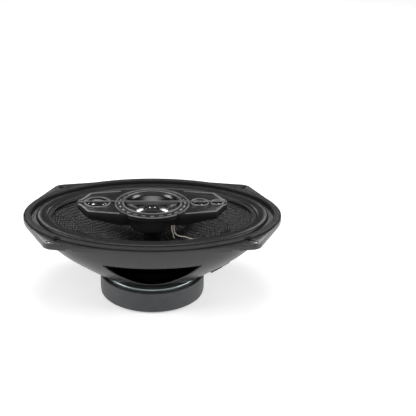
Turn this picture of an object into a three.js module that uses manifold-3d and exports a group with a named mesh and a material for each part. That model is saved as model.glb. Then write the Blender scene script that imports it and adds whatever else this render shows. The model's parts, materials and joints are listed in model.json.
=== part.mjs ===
// Oval coaxial car speaker, about 6 by 9 inches: a stamped steel basket with a sprung
// woofer cone, and a bridge on a centre post that holds one midrange unit and three
// tweeters. Millimetres, +Z up. The origin is the middle of the magnet boot's back face,
// +X runs along the long axis towards the terminals, and the cone faces +Z.
import * as THREE from "three";
import { mergeVertices } from "three/addons/utils/BufferGeometryUtils.js";
import Module from "manifold-3d";

const wasm = await Module();
wasm.setup();

// ---- Driving dimensions ----

// Flange and basket
const frameLength = 236;
const frameWidth = 165.6;
const flangeTop = 78.5;
const steel = 1.3;
const lipDrop = 4.5;
const seatDepth = 2.9;
const rimLand = 1.1;
const earInsetX = 32.5;
const earInsetY = 23.5;
const earRadius = 10.1;
const slotLength = 10.6;
const slotWidth = 4.6;
const slotTurn = 41;
const skirtInset = 12.5;
const baseHalfLength = 50;
const baseHalfWidth = 38.5;
const windowHalf = 45;
const windowShare = 0.6;
const endWindowHalf = 17;
const clipSlotX = 71.5;
const clipSlotLength = 6;
const clipSlotHeight = 1.6;
const coilHoleRoom = 3;

// Gasket, surround and cone
const gap = 0.3;
const gasketRise = 1.5;
const gasketWidth = 5.4;
const gasketPlay = 0.4;
const notchRadius = 4;
const notchOut = 1.2;
const channelWidth = 4.9;
const rollWidth = 11;
const rollHeight = 2.4;
const rollSkew = 1.6;
const rubber = 0.8;
const landing = 3.7;
const coneWall = 1;
const coneCurve = 1.08;
const coneNeckHeight = 44;

// Motor
const bootHeight = 20;
const bootWall = 2.5;
const bootFloor = 2;
const bootHole = 13;
const plateRadius = 44;
const plateThickness = 4.5;
const magnetOverhang = 1.7;
const magnetHoleRoom = 4.5;
const magnetHeight = 10;
const yokeThickness = 5;
const poleGap = 0.6;
const formerRadius = 16;
const formerWall = 0.4;
const windingDepth = 0.8;
const windingHeight = 10.5;
const airGap = 0.7;
const spiderOuter = 37.3;
const spiderHeight = 9;

// Centre post and bridge
const postRadius = 9;
const screwRadius = 2.9;
const bridgeRise = 10.2;
const bridgeTip = 68;
const bridgeCornerX = 57.5;
const bridgeCornerY = 21.3;
const bridgeShoulder = 27;
const tipLandX = 65;
const tipLandY = 7;
const wingStart = 20.5;
const wingDepthEnd = 5.1;
const wingDepthMiddle = 10.9;
const dialWidth = 8.2;
const dialRoom = 3.1;
const dialThickness = 2.4;
const dialStep = 1.2;
const trimWidth = 1.2;
const trimHeight = 0.6;
const barWidth = 1.2;
const barWeb = 2.9;

// Midrange unit
const cupRadius = 23;
const cupWall = 1.6;
const cupDepth = 23.2;
const midConeInset = 0.2;
const midNeckRadius = 9;
const midDomeRadius = 14.6;

// Tweeters
const leftPod = { name: "left", x: -50, radius: 12.2, dome: 6.5 };
const rightPods = [
  { name: "right_inner", x: 43.4, radius: 8.6, dome: 4.4 },
  { name: "right_outer", x: 59.2, radius: 6.4, dome: 3.2 },
];
const podFloor = 1.4;
const tweeterTravel = 0.15;

// ---- Radii and heights worked out from the sizes above ----

const magnetRadius = plateRadius + magnetOverhang;
const bootRadius = magnetRadius + gap + bootWall;
const poleRadius = formerRadius - poleGap;
const coilOuter = formerRadius + formerWall + gap + windingDepth;
const magnetHole = coilOuter + magnetHoleRoom;
const midConeRadius = cupRadius - midConeInset;
const midFrameRadius = midConeRadius + 1;
const dialInner = midConeRadius + dialRoom;
const dialOuter = dialInner + dialWidth;

const yokeBottom = bootFloor + gap;
const yokeTop = yokeBottom + yokeThickness;
const magnetBottom = yokeTop + gap;
const magnetTop = magnetBottom + magnetHeight;
const plateBottom = magnetTop + gap;
const plateTop = plateBottom + plateThickness;
const baseBottom = plateTop + gap;
const baseTop = baseBottom + steel;
const seatTop = flangeTop - seatDepth;
const seatBottom = seatTop - steel;
const landingBottom = seatTop + gap;
const landingTop = landingBottom + rubber;
const gasketBottom = landingTop + gap;
const gasketTop = flangeTop + gasketRise;
const coneEdgeTop = landingBottom - gap;
const spiderSeat = baseTop + gap + spiderHeight;
const wingTop = flangeTop + bridgeRise;
const dialBottom = wingTop - dialThickness;
const bridgeDiscTop = dialBottom - gap;
const cupBottom = wingTop - cupDepth;
const postBottom = plateTop + gap;
const postTop = cupBottom - gap;
const trimBottom = wingTop + gap;
const barBottom = trimBottom + trimHeight + gap;

// ---- Materials ----

const finish = (color, roughness, metalness) =>
  new THREE.MeshStandardMaterial({ color, roughness, metalness });
const materials = {
  basket: finish(0x2b2b2d, 0.45, 0.3),
  gasket: finish(0x27272a, 0.7, 0),
  surround: finish(0x232326, 0.4, 0),
  cone: finish(0x1b1b1d, 0.55, 0),
  spider: finish(0x2f2a22, 0.9, 0),
  boot: finish(0x46474a, 0.55, 0),
  zinc: finish(0xa5b0b2, 0.35, 0.9),
  ferrite: finish(0x303033, 0.8, 0.1),
  plastic: finish(0x202022, 0.4, 0),
  silver: finish(0xb4b5b8, 0.3, 0.9),
  gunmetal: finish(0x77736c, 0.3, 0.8),
  glossy: finish(0x141416, 0.2, 0),
  paper: finish(0x6f5a3c, 0.8, 0),
  copper: finish(0xa8623a, 0.35, 0.9),
  felt: finish(0x151516, 0.95, 0),
  wire: finish(0xd9d0bd, 0.6, 0),
  phenolic: finish(0x4a3420, 0.7, 0),
  brass: finish(0xb79a55, 0.35, 0.9),
};

// ---- Making solids ----

// How many flat sides stand for a full turn.
const ovalSides = 40;
const roundSides = 24;
const smallSides = 16;
const pinSides = 8;

// A closed geometry as a solid that can be cut and joined.
function solidOf(geometry) {
  const bare = geometry.clone();
  bare.deleteAttribute("normal");
  bare.deleteAttribute("uv");
  const merged = mergeVertices(bare, 1e-4);
  return new wasm.Manifold(
    new wasm.Mesh({
      numProp: 3,
      vertProperties: merged.attributes.position.array,
      triVerts: new Uint32Array(merged.index.array),
    }),
  );
}

function geometryOf(solid) {
  const mesh = solid.getMesh();
  const geometry = new THREE.BufferGeometry();
  const positions = new Float32Array(mesh.vertProperties);
  geometry.setAttribute("position", new THREE.BufferAttribute(positions, 3));
  geometry.setIndex(new THREE.BufferAttribute(new Uint32Array(mesh.triVerts), 1));
  geometry.computeVertexNormals();
  return geometry;
}

const join = (first, ...rest) => rest.reduce((sum, piece) => sum.add(piece), first);
const cut = (first, ...rest) => rest.reduce((sum, piece) => sum.subtract(piece), first);

// A profile of [half-length, half-width, height] points turned round Z on ovals. It closes
// on itself, or runs from the axis to the axis, anticlockwise seen with Z up and r right.
function ovalTurned(profile, segments = ovalSides) {
  const onAxis = profile[0][0] === 0;
  const loop = onAxis ? profile : [...profile, profile[0]];
  const flat = loop.map(([a, , z]) => new THREE.Vector2(a, z));
  const geometry = new THREE.LatheGeometry(flat, segments);
  const position = geometry.getAttribute("position");
  for (let turn = 0; turn <= segments; turn++) {
    const angle = (turn / segments) * Math.PI * 2;
    loop.forEach(([a, b, z], j) => {
      const sin = turn === segments ? 0 : Math.sin(angle);
      const cos = turn === segments ? 1 : Math.cos(angle);
      position.setXYZ(turn * loop.length + j, a * cos, b * sin, z);
    });
  }
  return solidOf(geometry);
}

const turned = (profile, segments = roundSides) =>
  ovalTurned(profile.map(([r, z]) => [r, r, z]), segments);

const disc = (radius, low, high, segments = roundSides) =>
  turned([[0, low], [radius, low], [radius, high], [0, high]], segments);

const ring = (inner, outer, low, high, segments = roundSides) =>
  turned([[inner, low], [outer, low], [outer, high], [inner, high]], segments);

function box([x0, x1], [y0, y1], [z0, z1]) {
  const geometry = new THREE.BoxGeometry(x1 - x0, y1 - y0, z1 - z0);
  return solidOf(geometry.translate((x0 + x1) / 2, (y0 + y1) / 2, (z0 + z1) / 2));
}

// A flat outline raised from low to high along Z.
function prism(outline, low, high) {
  const shape = new THREE.Shape(outline.map(([x, y]) => new THREE.Vector2(x, y)));
  const geometry = new THREE.ExtrudeGeometry(shape, { depth: high - low, bevelEnabled: false });
  return solidOf(geometry.translate(0, 0, low));
}

// The same for an outline in [x, z] or [y, z], along Y or X.
const prismAlongY = (outline, low, high) =>
  prism(outline, -high, -low).rotate([90, 0, 0]);
const prismAlongX = (outline, low, high) =>
  prism(outline, low, high).rotate([90, 0, 90]);

// A round or flat section carried along a smooth curve through the points.
function swept(points, radius, steps, sides = 8) {
  const section = new THREE.Shape();
  section.absarc(0, 0, radius, 0, Math.PI * 2);
  const path = new THREE.CatmullRomCurve3(points.map((p) => new THREE.Vector3(...p)));
  const geometry = new THREE.ExtrudeGeometry(section, {
    steps,
    curveSegments: sides / 2,
    bevelEnabled: false,
    extrudePath: path,
  });
  return solidOf(geometry);
}

const ovalPoint = (a, b, angle) => [a * Math.cos(angle), b * Math.sin(angle)];
const arcSteps = (count, from, to) =>
  Array.from({ length: count + 1 }, (_, i) => from + ((to - from) * i) / count);
const degrees = (angle) => (angle * Math.PI) / 180;

// The convex outline round a set of points, anticlockwise.
function hull(points) {
  const sorted = [...points].sort((p, q) => p[0] - q[0] || p[1] - q[1]);
  const turns = (o, p, q) =>
    (p[0] - o[0]) * (q[1] - o[1]) - (p[1] - o[1]) * (q[0] - o[0]);
  const half = (list) => {
    const chain = [];
    for (const point of list) {
      while (chain.length > 1 && turns(chain.at(-2), chain.at(-1), point) <= 1e-9)
        chain.pop();
      chain.push(point);
    }
    return chain.slice(0, -1);
  };
  return [...half(sorted), ...half([...sorted].reverse())];
}

const group = new THREE.Group();

function add(name, solid, material) {
  const mesh = new THREE.Mesh(geometryOf(solid), material);
  mesh.name = name;
  group.add(mesh);
}

// ---- Ovals that everything round the cone follows ----

const inset = (distance) => [frameLength / 2 - distance, frameWidth / 2 - distance];
const rimOval = inset(rimLand);
const gasketOuter = inset(rimLand + gasketPlay);
const gasketInner = inset(rimLand + gasketPlay + gasketWidth);
const rollInset = rimLand + gasketPlay + gasketWidth + channelWidth;
const rollOuter = inset(rollInset);
const rollInner = inset(rollInset + rollWidth);
const landingInner = inset(rollInset + rollWidth + landing);
const coneEdge = inset(rollInset + rollWidth + gap);
const skirtTop = inset(skirtInset);

// ---- Basket ----

const earCentre = [frameLength / 2 - earInsetX, frameWidth / 2 - earInsetY];
const corners = [[1, 1], [-1, 1], [-1, -1], [1, -1]];

// The flange's outline: an oval drawn out to four round ears.
function flangeOutline(shrink) {
  const [a, b] = inset(shrink);
  const oval = arcSteps(ovalSides, 0, Math.PI * 2).map((t) => ovalPoint(a, b, t));
  const ears = corners.flatMap(([sx, sy]) =>
    arcSteps(16, 0, Math.PI * 2).map((t) => {
      const [x, y] = ovalPoint(earRadius - shrink, earRadius - shrink, t);
      return [sx * earCentre[0] + x, sy * earCentre[1] + y];
    }),
  );
  return hull([...oval, ...ears]);
}

const skirtHeight = seatBottom - baseBottom;
const skirtOval = (share, wall) => {
  const out = Math.sin((Math.PI / 2) * share);
  return [
    baseHalfLength + (skirtTop[0] - baseHalfLength) * out - wall,
    baseHalfWidth + (skirtTop[1] - baseHalfWidth) * out - wall,
    baseBottom + skirtHeight * share,
  ];
};

// A long round-ended cutter for a screw slot, turned to point out of its corner.
function slotCutter(sx, sy) {
  const half = slotLength / 2 - slotWidth / 2;
  const ends = [-half, half].flatMap((shift) =>
    arcSteps(12, 0, Math.PI * 2).map((t) => {
      const [x, y] = ovalPoint(slotWidth / 2, slotWidth / 2, t);
      return [x + shift, y];
    }),
  );
  const turn = Math.atan2(sy * Math.sin(degrees(slotTurn)), sx * Math.cos(degrees(slotTurn)));
  return prism(hull(ends), seatBottom - lipDrop, gasketTop + 1)
    .rotate([0, 0, THREE.MathUtils.radToDeg(turn)])
    .translate([sx * (earCentre[0] + 1.2), sy * (earCentre[1] + 1), 0]);
}

// A cutter for the small slot in the lip that a grille's clip catches in.
function clipSlotCutter(sx, sy) {
  const near = frameWidth / 2 - 18;
  const far = frameWidth / 2 + 5;
  const half = clipSlotLength / 2;
  const low = flangeTop - lipDrop;
  return box(
    [sx * clipSlotX - half, sx * clipSlotX + half],
    sy > 0 ? [near, far] : [-far, -near],
    [low - 1, low + clipSlotHeight],
  );
}

function makeBasket() {
  const lipBottom = flangeTop - lipDrop;
  const outline = flangeOutline(0);
  const inside = flangeOutline(steel);
  const [rimA, rimB] = rimOval;
  const [topA, topB] = skirtTop;
  const stepWall = turnedOval(rimA + steel, rimB + steel, lipBottom - 1, flangeTop);
  const underEar = cut(prism(inside, lipBottom - 1, flangeTop - steel), stepWall);
  const underSeat = prism(inside, lipBottom - 1, seatBottom);
  const seat = turnedOval(rimA, rimB, seatTop, flangeTop + 1);
  const flange = cut(prism(outline, lipBottom, flangeTop), underEar, underSeat, seat);

  const shares = [0, 0.08, 0.25, 0.45, 0.7, 1];
  const outer = shares.map((share) => skirtOval(share, 0));
  const skirt = ovalTurned([
    [0, 0, baseBottom],
    ...outer,
    [topA, topB, seatTop],
    [0, 0, seatTop],
  ]);
  const floorShare = (baseTop - baseBottom) / skirtHeight;
  const hollowShares = [floorShare, ...shares.slice(1)];
  const hollow = ovalTurned([
    [0, 0, baseTop],
    ...hollowShares.map((share) => skirtOval(share, steel)),
    [topA - steel, topB - steel, flangeTop],
    [0, 0, flangeTop],
  ]);
  const coilHole = disc(formerRadius + coilHoleRoom, baseBottom - 1, baseTop + 1);
  const windowTop = baseBottom + windowShare * skirtHeight;
  const windowLow = baseTop + steel;
  const crescent = arcSteps(12, -1, 1).map((t) => [
    t * windowHalf,
    windowLow + (windowTop - windowLow) * t * t,
  ]);
  const sideWindow = prismAlongY(crescent, -frameWidth / 2, frameWidth / 2);
  const endLow = baseBottom + 0.3 * skirtHeight;
  const endHigh = windowTop + 2;
  const trapezium = [
    [-endWindowHalf * 0.65, endLow],
    [endWindowHalf * 0.65, endLow],
    [endWindowHalf, endHigh],
    [-endWindowHalf, endHigh],
  ];
  const endWindow = prismAlongX(trapezium, -frameLength / 2, frameLength / 2);
  const slots = corners.map(([sx, sy]) => slotCutter(sx, sy));
  const clipSlots = corners.map(([sx, sy]) => clipSlotCutter(sx, sy));
  const rivetHoles = rivetPlaces.map(([x, y]) =>
    disc(rivetRadius + gap, baseBottom - 1, baseTop + 1, pinSides).translate([x, y, 0]),
  );
  const terminalHole = terminalRivet(gap, terminalRivetLength + 2);
  return cut(
    join(flange, skirt),
    hollow,
    coilHole,
    sideWindow,
    endWindow,
    ...slots,
    ...clipSlots,
    ...rivetHoles,
    terminalHole,
  );
}

const turnedOval = (a, b, low, high) =>
  ovalTurned([[0, 0, low], [a, b, low], [a, b, high], [0, 0, high]]);

// Rivets that hold the basket's floor to the top plate.
const rivetRadius = 1.8;
const rivetCircle = 27;
const rivetPlaces = [45, 135, 225, 315].map((angle) =>
  ovalPoint(rivetCircle, rivetCircle, degrees(angle)),
);
const rivet = ([x, y]) =>
  turned(
    [
      [0, plateBottom + gap],
      [rivetRadius, plateBottom + gap],
      [rivetRadius, baseTop + gap],
      [rivetRadius * 1.8, baseTop + gap],
      [rivetRadius * 1.5, baseTop + 1.5],
      [0, baseTop + 1.7],
    ],
    pinSides,
  ).translate([x, y, 0]);

// ---- Terminals, on the sloping outside of the basket's +X end ----

const terminalShare = 0.1;
const boardLength = 12;
const boardWidth = 24;
const boardThickness = 1.6;
const spadeThickness = 0.8;
const spadeReach = 7.5;
const terminalRivetLength = 3.8;
const [terminalX, , terminalZ] = skirtOval(terminalShare, 0);
const [slopeX, , slopeZ] = skirtOval(terminalShare + 0.05, 0);
const terminalSlope = THREE.MathUtils.radToDeg(
  Math.atan2(slopeZ - terminalZ, slopeX - terminalX),
);

// Turns a piece built flat at the origin, its top against the skirt, onto the slope.
const ontoSlope = (solid) =>
  solid.rotate([0, -terminalSlope, 0]).translate([terminalX, 0, terminalZ]);

const boardTop = -0.9;

function terminalRivet(growth, length) {
  const boardBottom = boardTop - boardThickness;
  const shankRadius = 1.5;
  const headRadius = 2.6;
  const head = disc(headRadius, boardBottom - 1.3, boardBottom - gap, pinSides);
  const shank = disc(shankRadius, boardBottom - gap, boardTop + length, pinSides);
  const inner = disc(headRadius, boardTop + 3, boardTop + 4, pinSides);
  const hole = disc(shankRadius + growth, boardBottom - 1, boardTop + length, pinSides);
  return ontoSlope(growth > 0 ? hole : join(head, shank, inner));
}

function makeTerminals() {
  const board = box(
    [-boardLength / 2, boardLength / 2],
    [-boardWidth / 2, boardWidth / 2],
    [boardTop - boardThickness, boardTop],
  );
  add("terminal_board", cut(ontoSlope(board), terminalRivet(gap, 2)), materials.phenolic);
  add("terminal_rivet", terminalRivet(0, terminalRivetLength), materials.zinc);
  const spadeTop = boardTop - boardThickness - gap;
  const blades = [
    ["spade_positive", 7.2, 2.4],
    ["spade_negative", -7.2, 1.4],
  ];
  for (const [name, y, half] of blades) {
    const blade = box(
      [-3, boardLength / 2 + spadeReach],
      [y - half, y + half],
      [spadeTop - spadeThickness, spadeTop],
    );
    add(name, ontoSlope(blade), materials.brass);
  }
}

// ---- Cone, coil, spider and surround ----

const coneNeck = formerRadius + formerWall + gap;
const coneOval = (share, lift) => [
  coneNeck + (coneEdge[0] - coneNeck) * share,
  coneNeck + (coneEdge[1] - coneNeck) * share,
  coneNeckHeight + (coneEdgeTop - coneNeckHeight) * share ** coneCurve + lift,
];

function makeCone() {
  const shares = [0, 0.15, 0.35, 0.6, 0.85, 1];
  const bottom = shares.map((share) => coneOval(share, -coneWall * 1.25));
  const top = [...shares].reverse().map((share) => coneOval(share, 0));
  return ovalTurned([...bottom, ...top]);
}

// A low rubber roll between two flat landings, with its crest towards the outside.
function makeSurround() {
  const arc = arcSteps(8, 0, Math.PI);
  const rollPoints = (from, to, base) =>
    arc.map((t) => {
      const share = ((1 - Math.cos(t)) / 2) ** rollSkew;
      const [a, b] = inset(from + (to - from) * share);
      return [a, b, base + rollHeight * Math.sin(t)];
    });
  const rollEnd = rollInset + rollWidth;
  const [outA, outB] = inset(rimLand + gasketPlay + 1);
  const [inA, inB] = landingInner;
  const above = rollPoints(rollInset, rollEnd, landingTop);
  const below = rollPoints(rollInset + rubber / 2, rollEnd - rubber / 2, landingBottom);
  return ovalTurned([
    [outA, outB, landingBottom],
    [outA, outB, landingTop],
    ...above,
    [inA, inB, landingTop],
    [inA, inB, landingBottom],
    ...below.reverse(),
  ]);
}

// A corrugated cloth disc from its landing ring to the coil former.
function makeSpider() {
  const inner = formerRadius + formerWall + gap;
  const outerFlat = spiderOuter - 3.5;
  const innerFlat = inner + 2.5;
  const folds = 6;
  const crest = 1.2;
  const cloth = 0.8;
  const flat = spiderSeat + gap;
  const line = [
    [spiderOuter, flat],
    [outerFlat, flat],
  ];
  for (let i = 1; i < folds; i++) {
    const r = outerFlat + ((innerFlat - outerFlat) * i) / folds;
    line.push([r, flat + crest * (i % 2 ? 1 : 0)]);
  }
  line.push([innerFlat, flat], [inner, flat]);
  const lower = [...line].reverse();
  const upper = line.map(([r, z]) => [r, z + cloth]);
  return turned([...lower, ...upper]);
}

function makeFormer() {
  const low = plateBottom + plateThickness / 2 - windingHeight / 2 - 1;
  return ring(formerRadius, formerRadius + formerWall, low, coneNeckHeight + 2);
}

function makeWinding() {
  const inner = formerRadius + formerWall + gap;
  const middle = plateBottom + plateThickness / 2;
  return ring(inner, inner + windingDepth, middle - windingHeight / 2, middle + windingHeight / 2);
}

// A strip of black cement that covers the coil's lead along the cone.
const coverFrom = 0.1;
const coverTo = 0.48;
const coverTurn = degrees(42.5);
const coverHalf = 1.5;

function makeLeadCover() {
  const strip = new THREE.BoxGeometry(1, 1, 1, 6, 1, 1);
  const position = strip.getAttribute("position");
  for (let i = 0; i < position.count; i++) {
    const share = coverFrom + (coverTo - coverFrom) * (position.getX(i) + 0.5);
    const lift = gap + position.getZ(i) + 0.5;
    const [a, b, z] = coneOval(share, lift);
    const [x, y] = ovalPoint(a, b, coverTurn);
    const across = coverHalf * 2 * position.getY(i);
    const turn = Math.atan2(a * Math.sin(coverTurn), b * Math.cos(coverTurn));
    position.setXYZ(i, x + across * -Math.sin(turn), y + across * Math.cos(turn), z + 0.25);
  }
  return solidOf(strip);
}

// ---- Motor ----

const postScrewHead = yokeBottom + 0.4;

function makeMotor() {
  const boot = cut(
    disc(bootRadius, 0, bootHeight),
    disc(bootRadius - bootWall, bootFloor, bootHeight + 1),
    disc(bootHole, -1, bootFloor + 1),
  );
  add("magnet_boot", boot, materials.boot);
  const bore = screwRadius + gap;
  const yoke = turned([
    [bore, yokeBottom + 3.6],
    [6.6, yokeBottom + 3.6],
    [6.6, yokeBottom],
    [plateRadius, yokeBottom],
    [plateRadius, yokeTop],
    [poleRadius, yokeTop],
    [poleRadius, plateTop],
    [bore, plateTop],
  ]);
  add("back_yoke", yoke, materials.zinc);
  const magnet = ring(magnetHole, magnetRadius, magnetBottom, magnetTop);
  add("ferrite_magnet", magnet, materials.ferrite);
  const plateHoles = rivetPlaces.map(([x, y]) =>
    disc(rivetRadius + gap, plateBottom - 1, plateTop + 1, pinSides).translate([x, y, 0]),
  );
  const plate = ring(coilOuter + airGap, plateRadius, plateBottom, plateTop, ovalSides);
  add("top_plate", cut(plate, ...plateHoles), materials.zinc);
  const landingRing = ring(spiderOuter - 3, spiderOuter, baseTop + gap, spiderSeat);
  add("spider_ring", landingRing, materials.plastic);
  rivetPlaces.forEach((place, i) => add(`basket_rivet_${i + 1}`, rivet(place), materials.zinc));
}

// ---- Centre post ----

const postThread = 9;
const cupScrewRadius = 1.9;
const cupScrewLength = 9;

function makePost() {
  const post = cut(
    disc(postRadius, postBottom, postTop),
    disc(screwRadius + gap, postBottom - 1, postBottom + postThread, smallSides),
    disc(cupScrewRadius + gap, postTop - cupScrewLength, postTop + 1, pinSides),
  );
  add("centre_post", post, materials.plastic);
  const head = disc(5, postScrewHead, yokeBottom + 3.3, 6);
  const shank = disc(screwRadius, yokeBottom + 3, postBottom + postThread - 1, smallSides);
  add("post_screw", join(head, shank), materials.zinc);
  const cupFloor = cupBottom + cupWall;
  const cupHead = disc(3.6, cupFloor + gap, cupFloor + gap + 1.8, smallSides);
  const shankLow = postTop - cupScrewLength + 1;
  const cupShank = disc(cupScrewRadius, shankLow, cupFloor + gap + 0.5, pinSides);
  add("cup_screw", join(cupHead, cupShank), materials.zinc);
  const felt = ring(postRadius + 1, formerRadius - gap, coneNeckHeight - 1, coneNeckHeight + 0.6);
  add("dust_ring", felt, materials.felt);
}

// ---- Bridge ----

const hexagon = [
  [bridgeShoulder, -bridgeShoulder],
  [bridgeCornerX, -bridgeCornerY],
  [tipLandX, -tipLandY],
  [bridgeTip, -tipLandY + 3],
  [bridgeTip, tipLandY - 3],
  [tipLandX, tipLandY],
  [bridgeCornerX, bridgeCornerY],
  [bridgeShoulder, bridgeShoulder],
];

const podRecess = (pod) => pod.radius - trimWidth - 0.4;
const keelSlope = (wingDepthMiddle - wingDepthEnd) / (bridgeTip - bridgeShoulder);
const wingBottomAt = (x) =>
  wingTop - wingDepthMiddle + keelSlope * Math.max(0, x - bridgeShoulder);
const capacitorRadius = 3.3;
const capacitorLength = 17;
const capacitorX = 29;

// One wing of the bridge: a plate with a boat-shaped underside, out to +X or -X.
function makeWing(side) {
  const plan = prism(
    [
      [wingStart, -bridgeShoulder + 1],
      ...hexagon,
      [wingStart, bridgeShoulder - 1],
    ].map(([x, y]) => [side * x, side * y]),
    wingTop - 20,
    wingTop,
  );
  const keel = [
    [0, wingTop - wingDepthMiddle],
    [bridgeShoulder, wingTop - wingDepthMiddle],
    [bridgeTip + 1, wingTop - wingDepthEnd],
    [bridgeTip + 1, wingTop + 1],
    [0, wingTop + 1],
  ].map(([x, z]) => [side * x, z]);
  const hullShape = prismAlongY(side > 0 ? keel : keel.reverse(), -bridgeTip, bridgeTip);
  return plan.intersect(hullShape);
}

function capacitorPocket(side) {
  const half = capacitorLength / 2 + gap;
  const reach = capacitorRadius + gap;
  const low = wingTop - wingDepthMiddle - 1;
  const x = side * capacitorX;
  return box([x - reach, x + reach], [-half, half], [low, wingTop - dialThickness - 1.8]);
}

const tweeterPods = [leftPod, ...rightPods];

function makeBridge() {
  const discPlate = disc(dialOuter + gap, bridgeDiscTop - 2, bridgeDiscTop, ovalSides);
  const wings = [-1, 1].map((side) => makeWing(side));
  const dialSeat = disc(dialOuter + gap, bridgeDiscTop, wingTop + 1, ovalSides);
  const midHole = disc(midFrameRadius + gap, wingTop - 20, wingTop + 1, ovalSides);
  const cupHole = disc(cupRadius + gap, wingTop - 30, bridgeDiscTop - 3, ovalSides);
  const recesses = tweeterPods.map((pod) => {
    const floor = wingBottomAt(Math.abs(pod.x) + pod.radius) + podFloor;
    return disc(podRecess(pod), floor, wingTop + 1, smallSides).translate([pod.x, 0, 0]);
  });
  const pockets = [-1, 1].map((side) => capacitorPocket(side));
  const blank = join(discPlate, ...wings);
  const body = cut(blank, dialSeat, midHole, cupHole, ...recesses, ...pockets);
  add("bridge_body", body, materials.plastic);

  const dial = turned(
    [
      [dialInner, dialBottom],
      [dialOuter, dialBottom],
      [dialOuter, wingTop - dialStep],
      [dialOuter - 1.4, wingTop - dialStep],
      [dialInner + 1.4, wingTop],
      [dialInner, wingTop],
    ],
    ovalSides,
  );
  add("dial_ring", dial, materials.plastic);
  const trimRing = (inner, low) =>
    ring(inner, inner + trimWidth, low, low + trimHeight, ovalSides);
  const outerTrim = trimRing(dialOuter - trimWidth, wingTop - dialStep + gap);
  add("outer_ring_trim", outerTrim, materials.silver);
  add("inner_ring_trim", trimRing(dialInner, trimBottom), materials.silver);

  const strip = (sy) => {
    const outer = [
      [bridgeShoulder + 2.5, bridgeShoulder - 0.47],
      [bridgeCornerX, bridgeCornerY],
      [tipLandX, tipLandY],
    ];
    const inner = [
      [tipLandX - 1.8, tipLandY - 0.4],
      [bridgeCornerX - 1, bridgeCornerY - 1.4],
      [bridgeShoulder + 2.5, bridgeShoulder - 0.47 - trimWidth],
    ];
    return [...outer, ...inner].map(([x, y]) => [x, sy * y]);
  };
  for (const [side, sx] of [["left", -1], ["right", 1]])
    for (const [place, sy] of [["front", -1], ["back", 1]]) {
      const outline = strip(sy).map(([x, y]) => [sx * x, y]);
      const facing = sx * sy > 0 ? outline.reverse() : outline;
      const line = prism(facing, trimBottom, trimBottom + trimHeight);
      add(`bridge_trim_${side}_${place}`, line, materials.silver);
    }

  const half = barWidth / 2;
  const barTop = barBottom + trimHeight;
  const webReach = midConeRadius + 0.4;
  const bar = join(
    box([-bridgeTip, bridgeTip], [-half, half], [barBottom, barTop]),
    box([-webReach, webReach], [-half, half], [barBottom - barWeb, barTop]),
    box([bridgeTip - 2, bridgeTip], [-half, half], [trimBottom, barTop]),
    box([-bridgeTip, 2 - bridgeTip], [-half, half], [trimBottom, barTop]),
  );
  add("cross_bar", bar, materials.silver);

  for (const [side, sx] of [["left", -1], ["right", 1]]) {
    const can = disc(capacitorRadius, -capacitorLength / 2, capacitorLength / 2, smallSides)
      .rotate([90, 0, 0])
      .translate([sx * capacitorX, 0, wingTop - dialThickness - 1.8 - gap - capacitorRadius]);
    add(`${side}_capacitor`, can, materials.glossy);
  }
}

// ---- Midrange unit ----

const midConeTop = wingTop - 2.9;
const midNeckHeight = midConeTop - 7;
const midYokeBottom = cupBottom + 4.6;
const midYokeTop = midYokeBottom + 7.2;
const midYokeRadius = 11.3;

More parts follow.
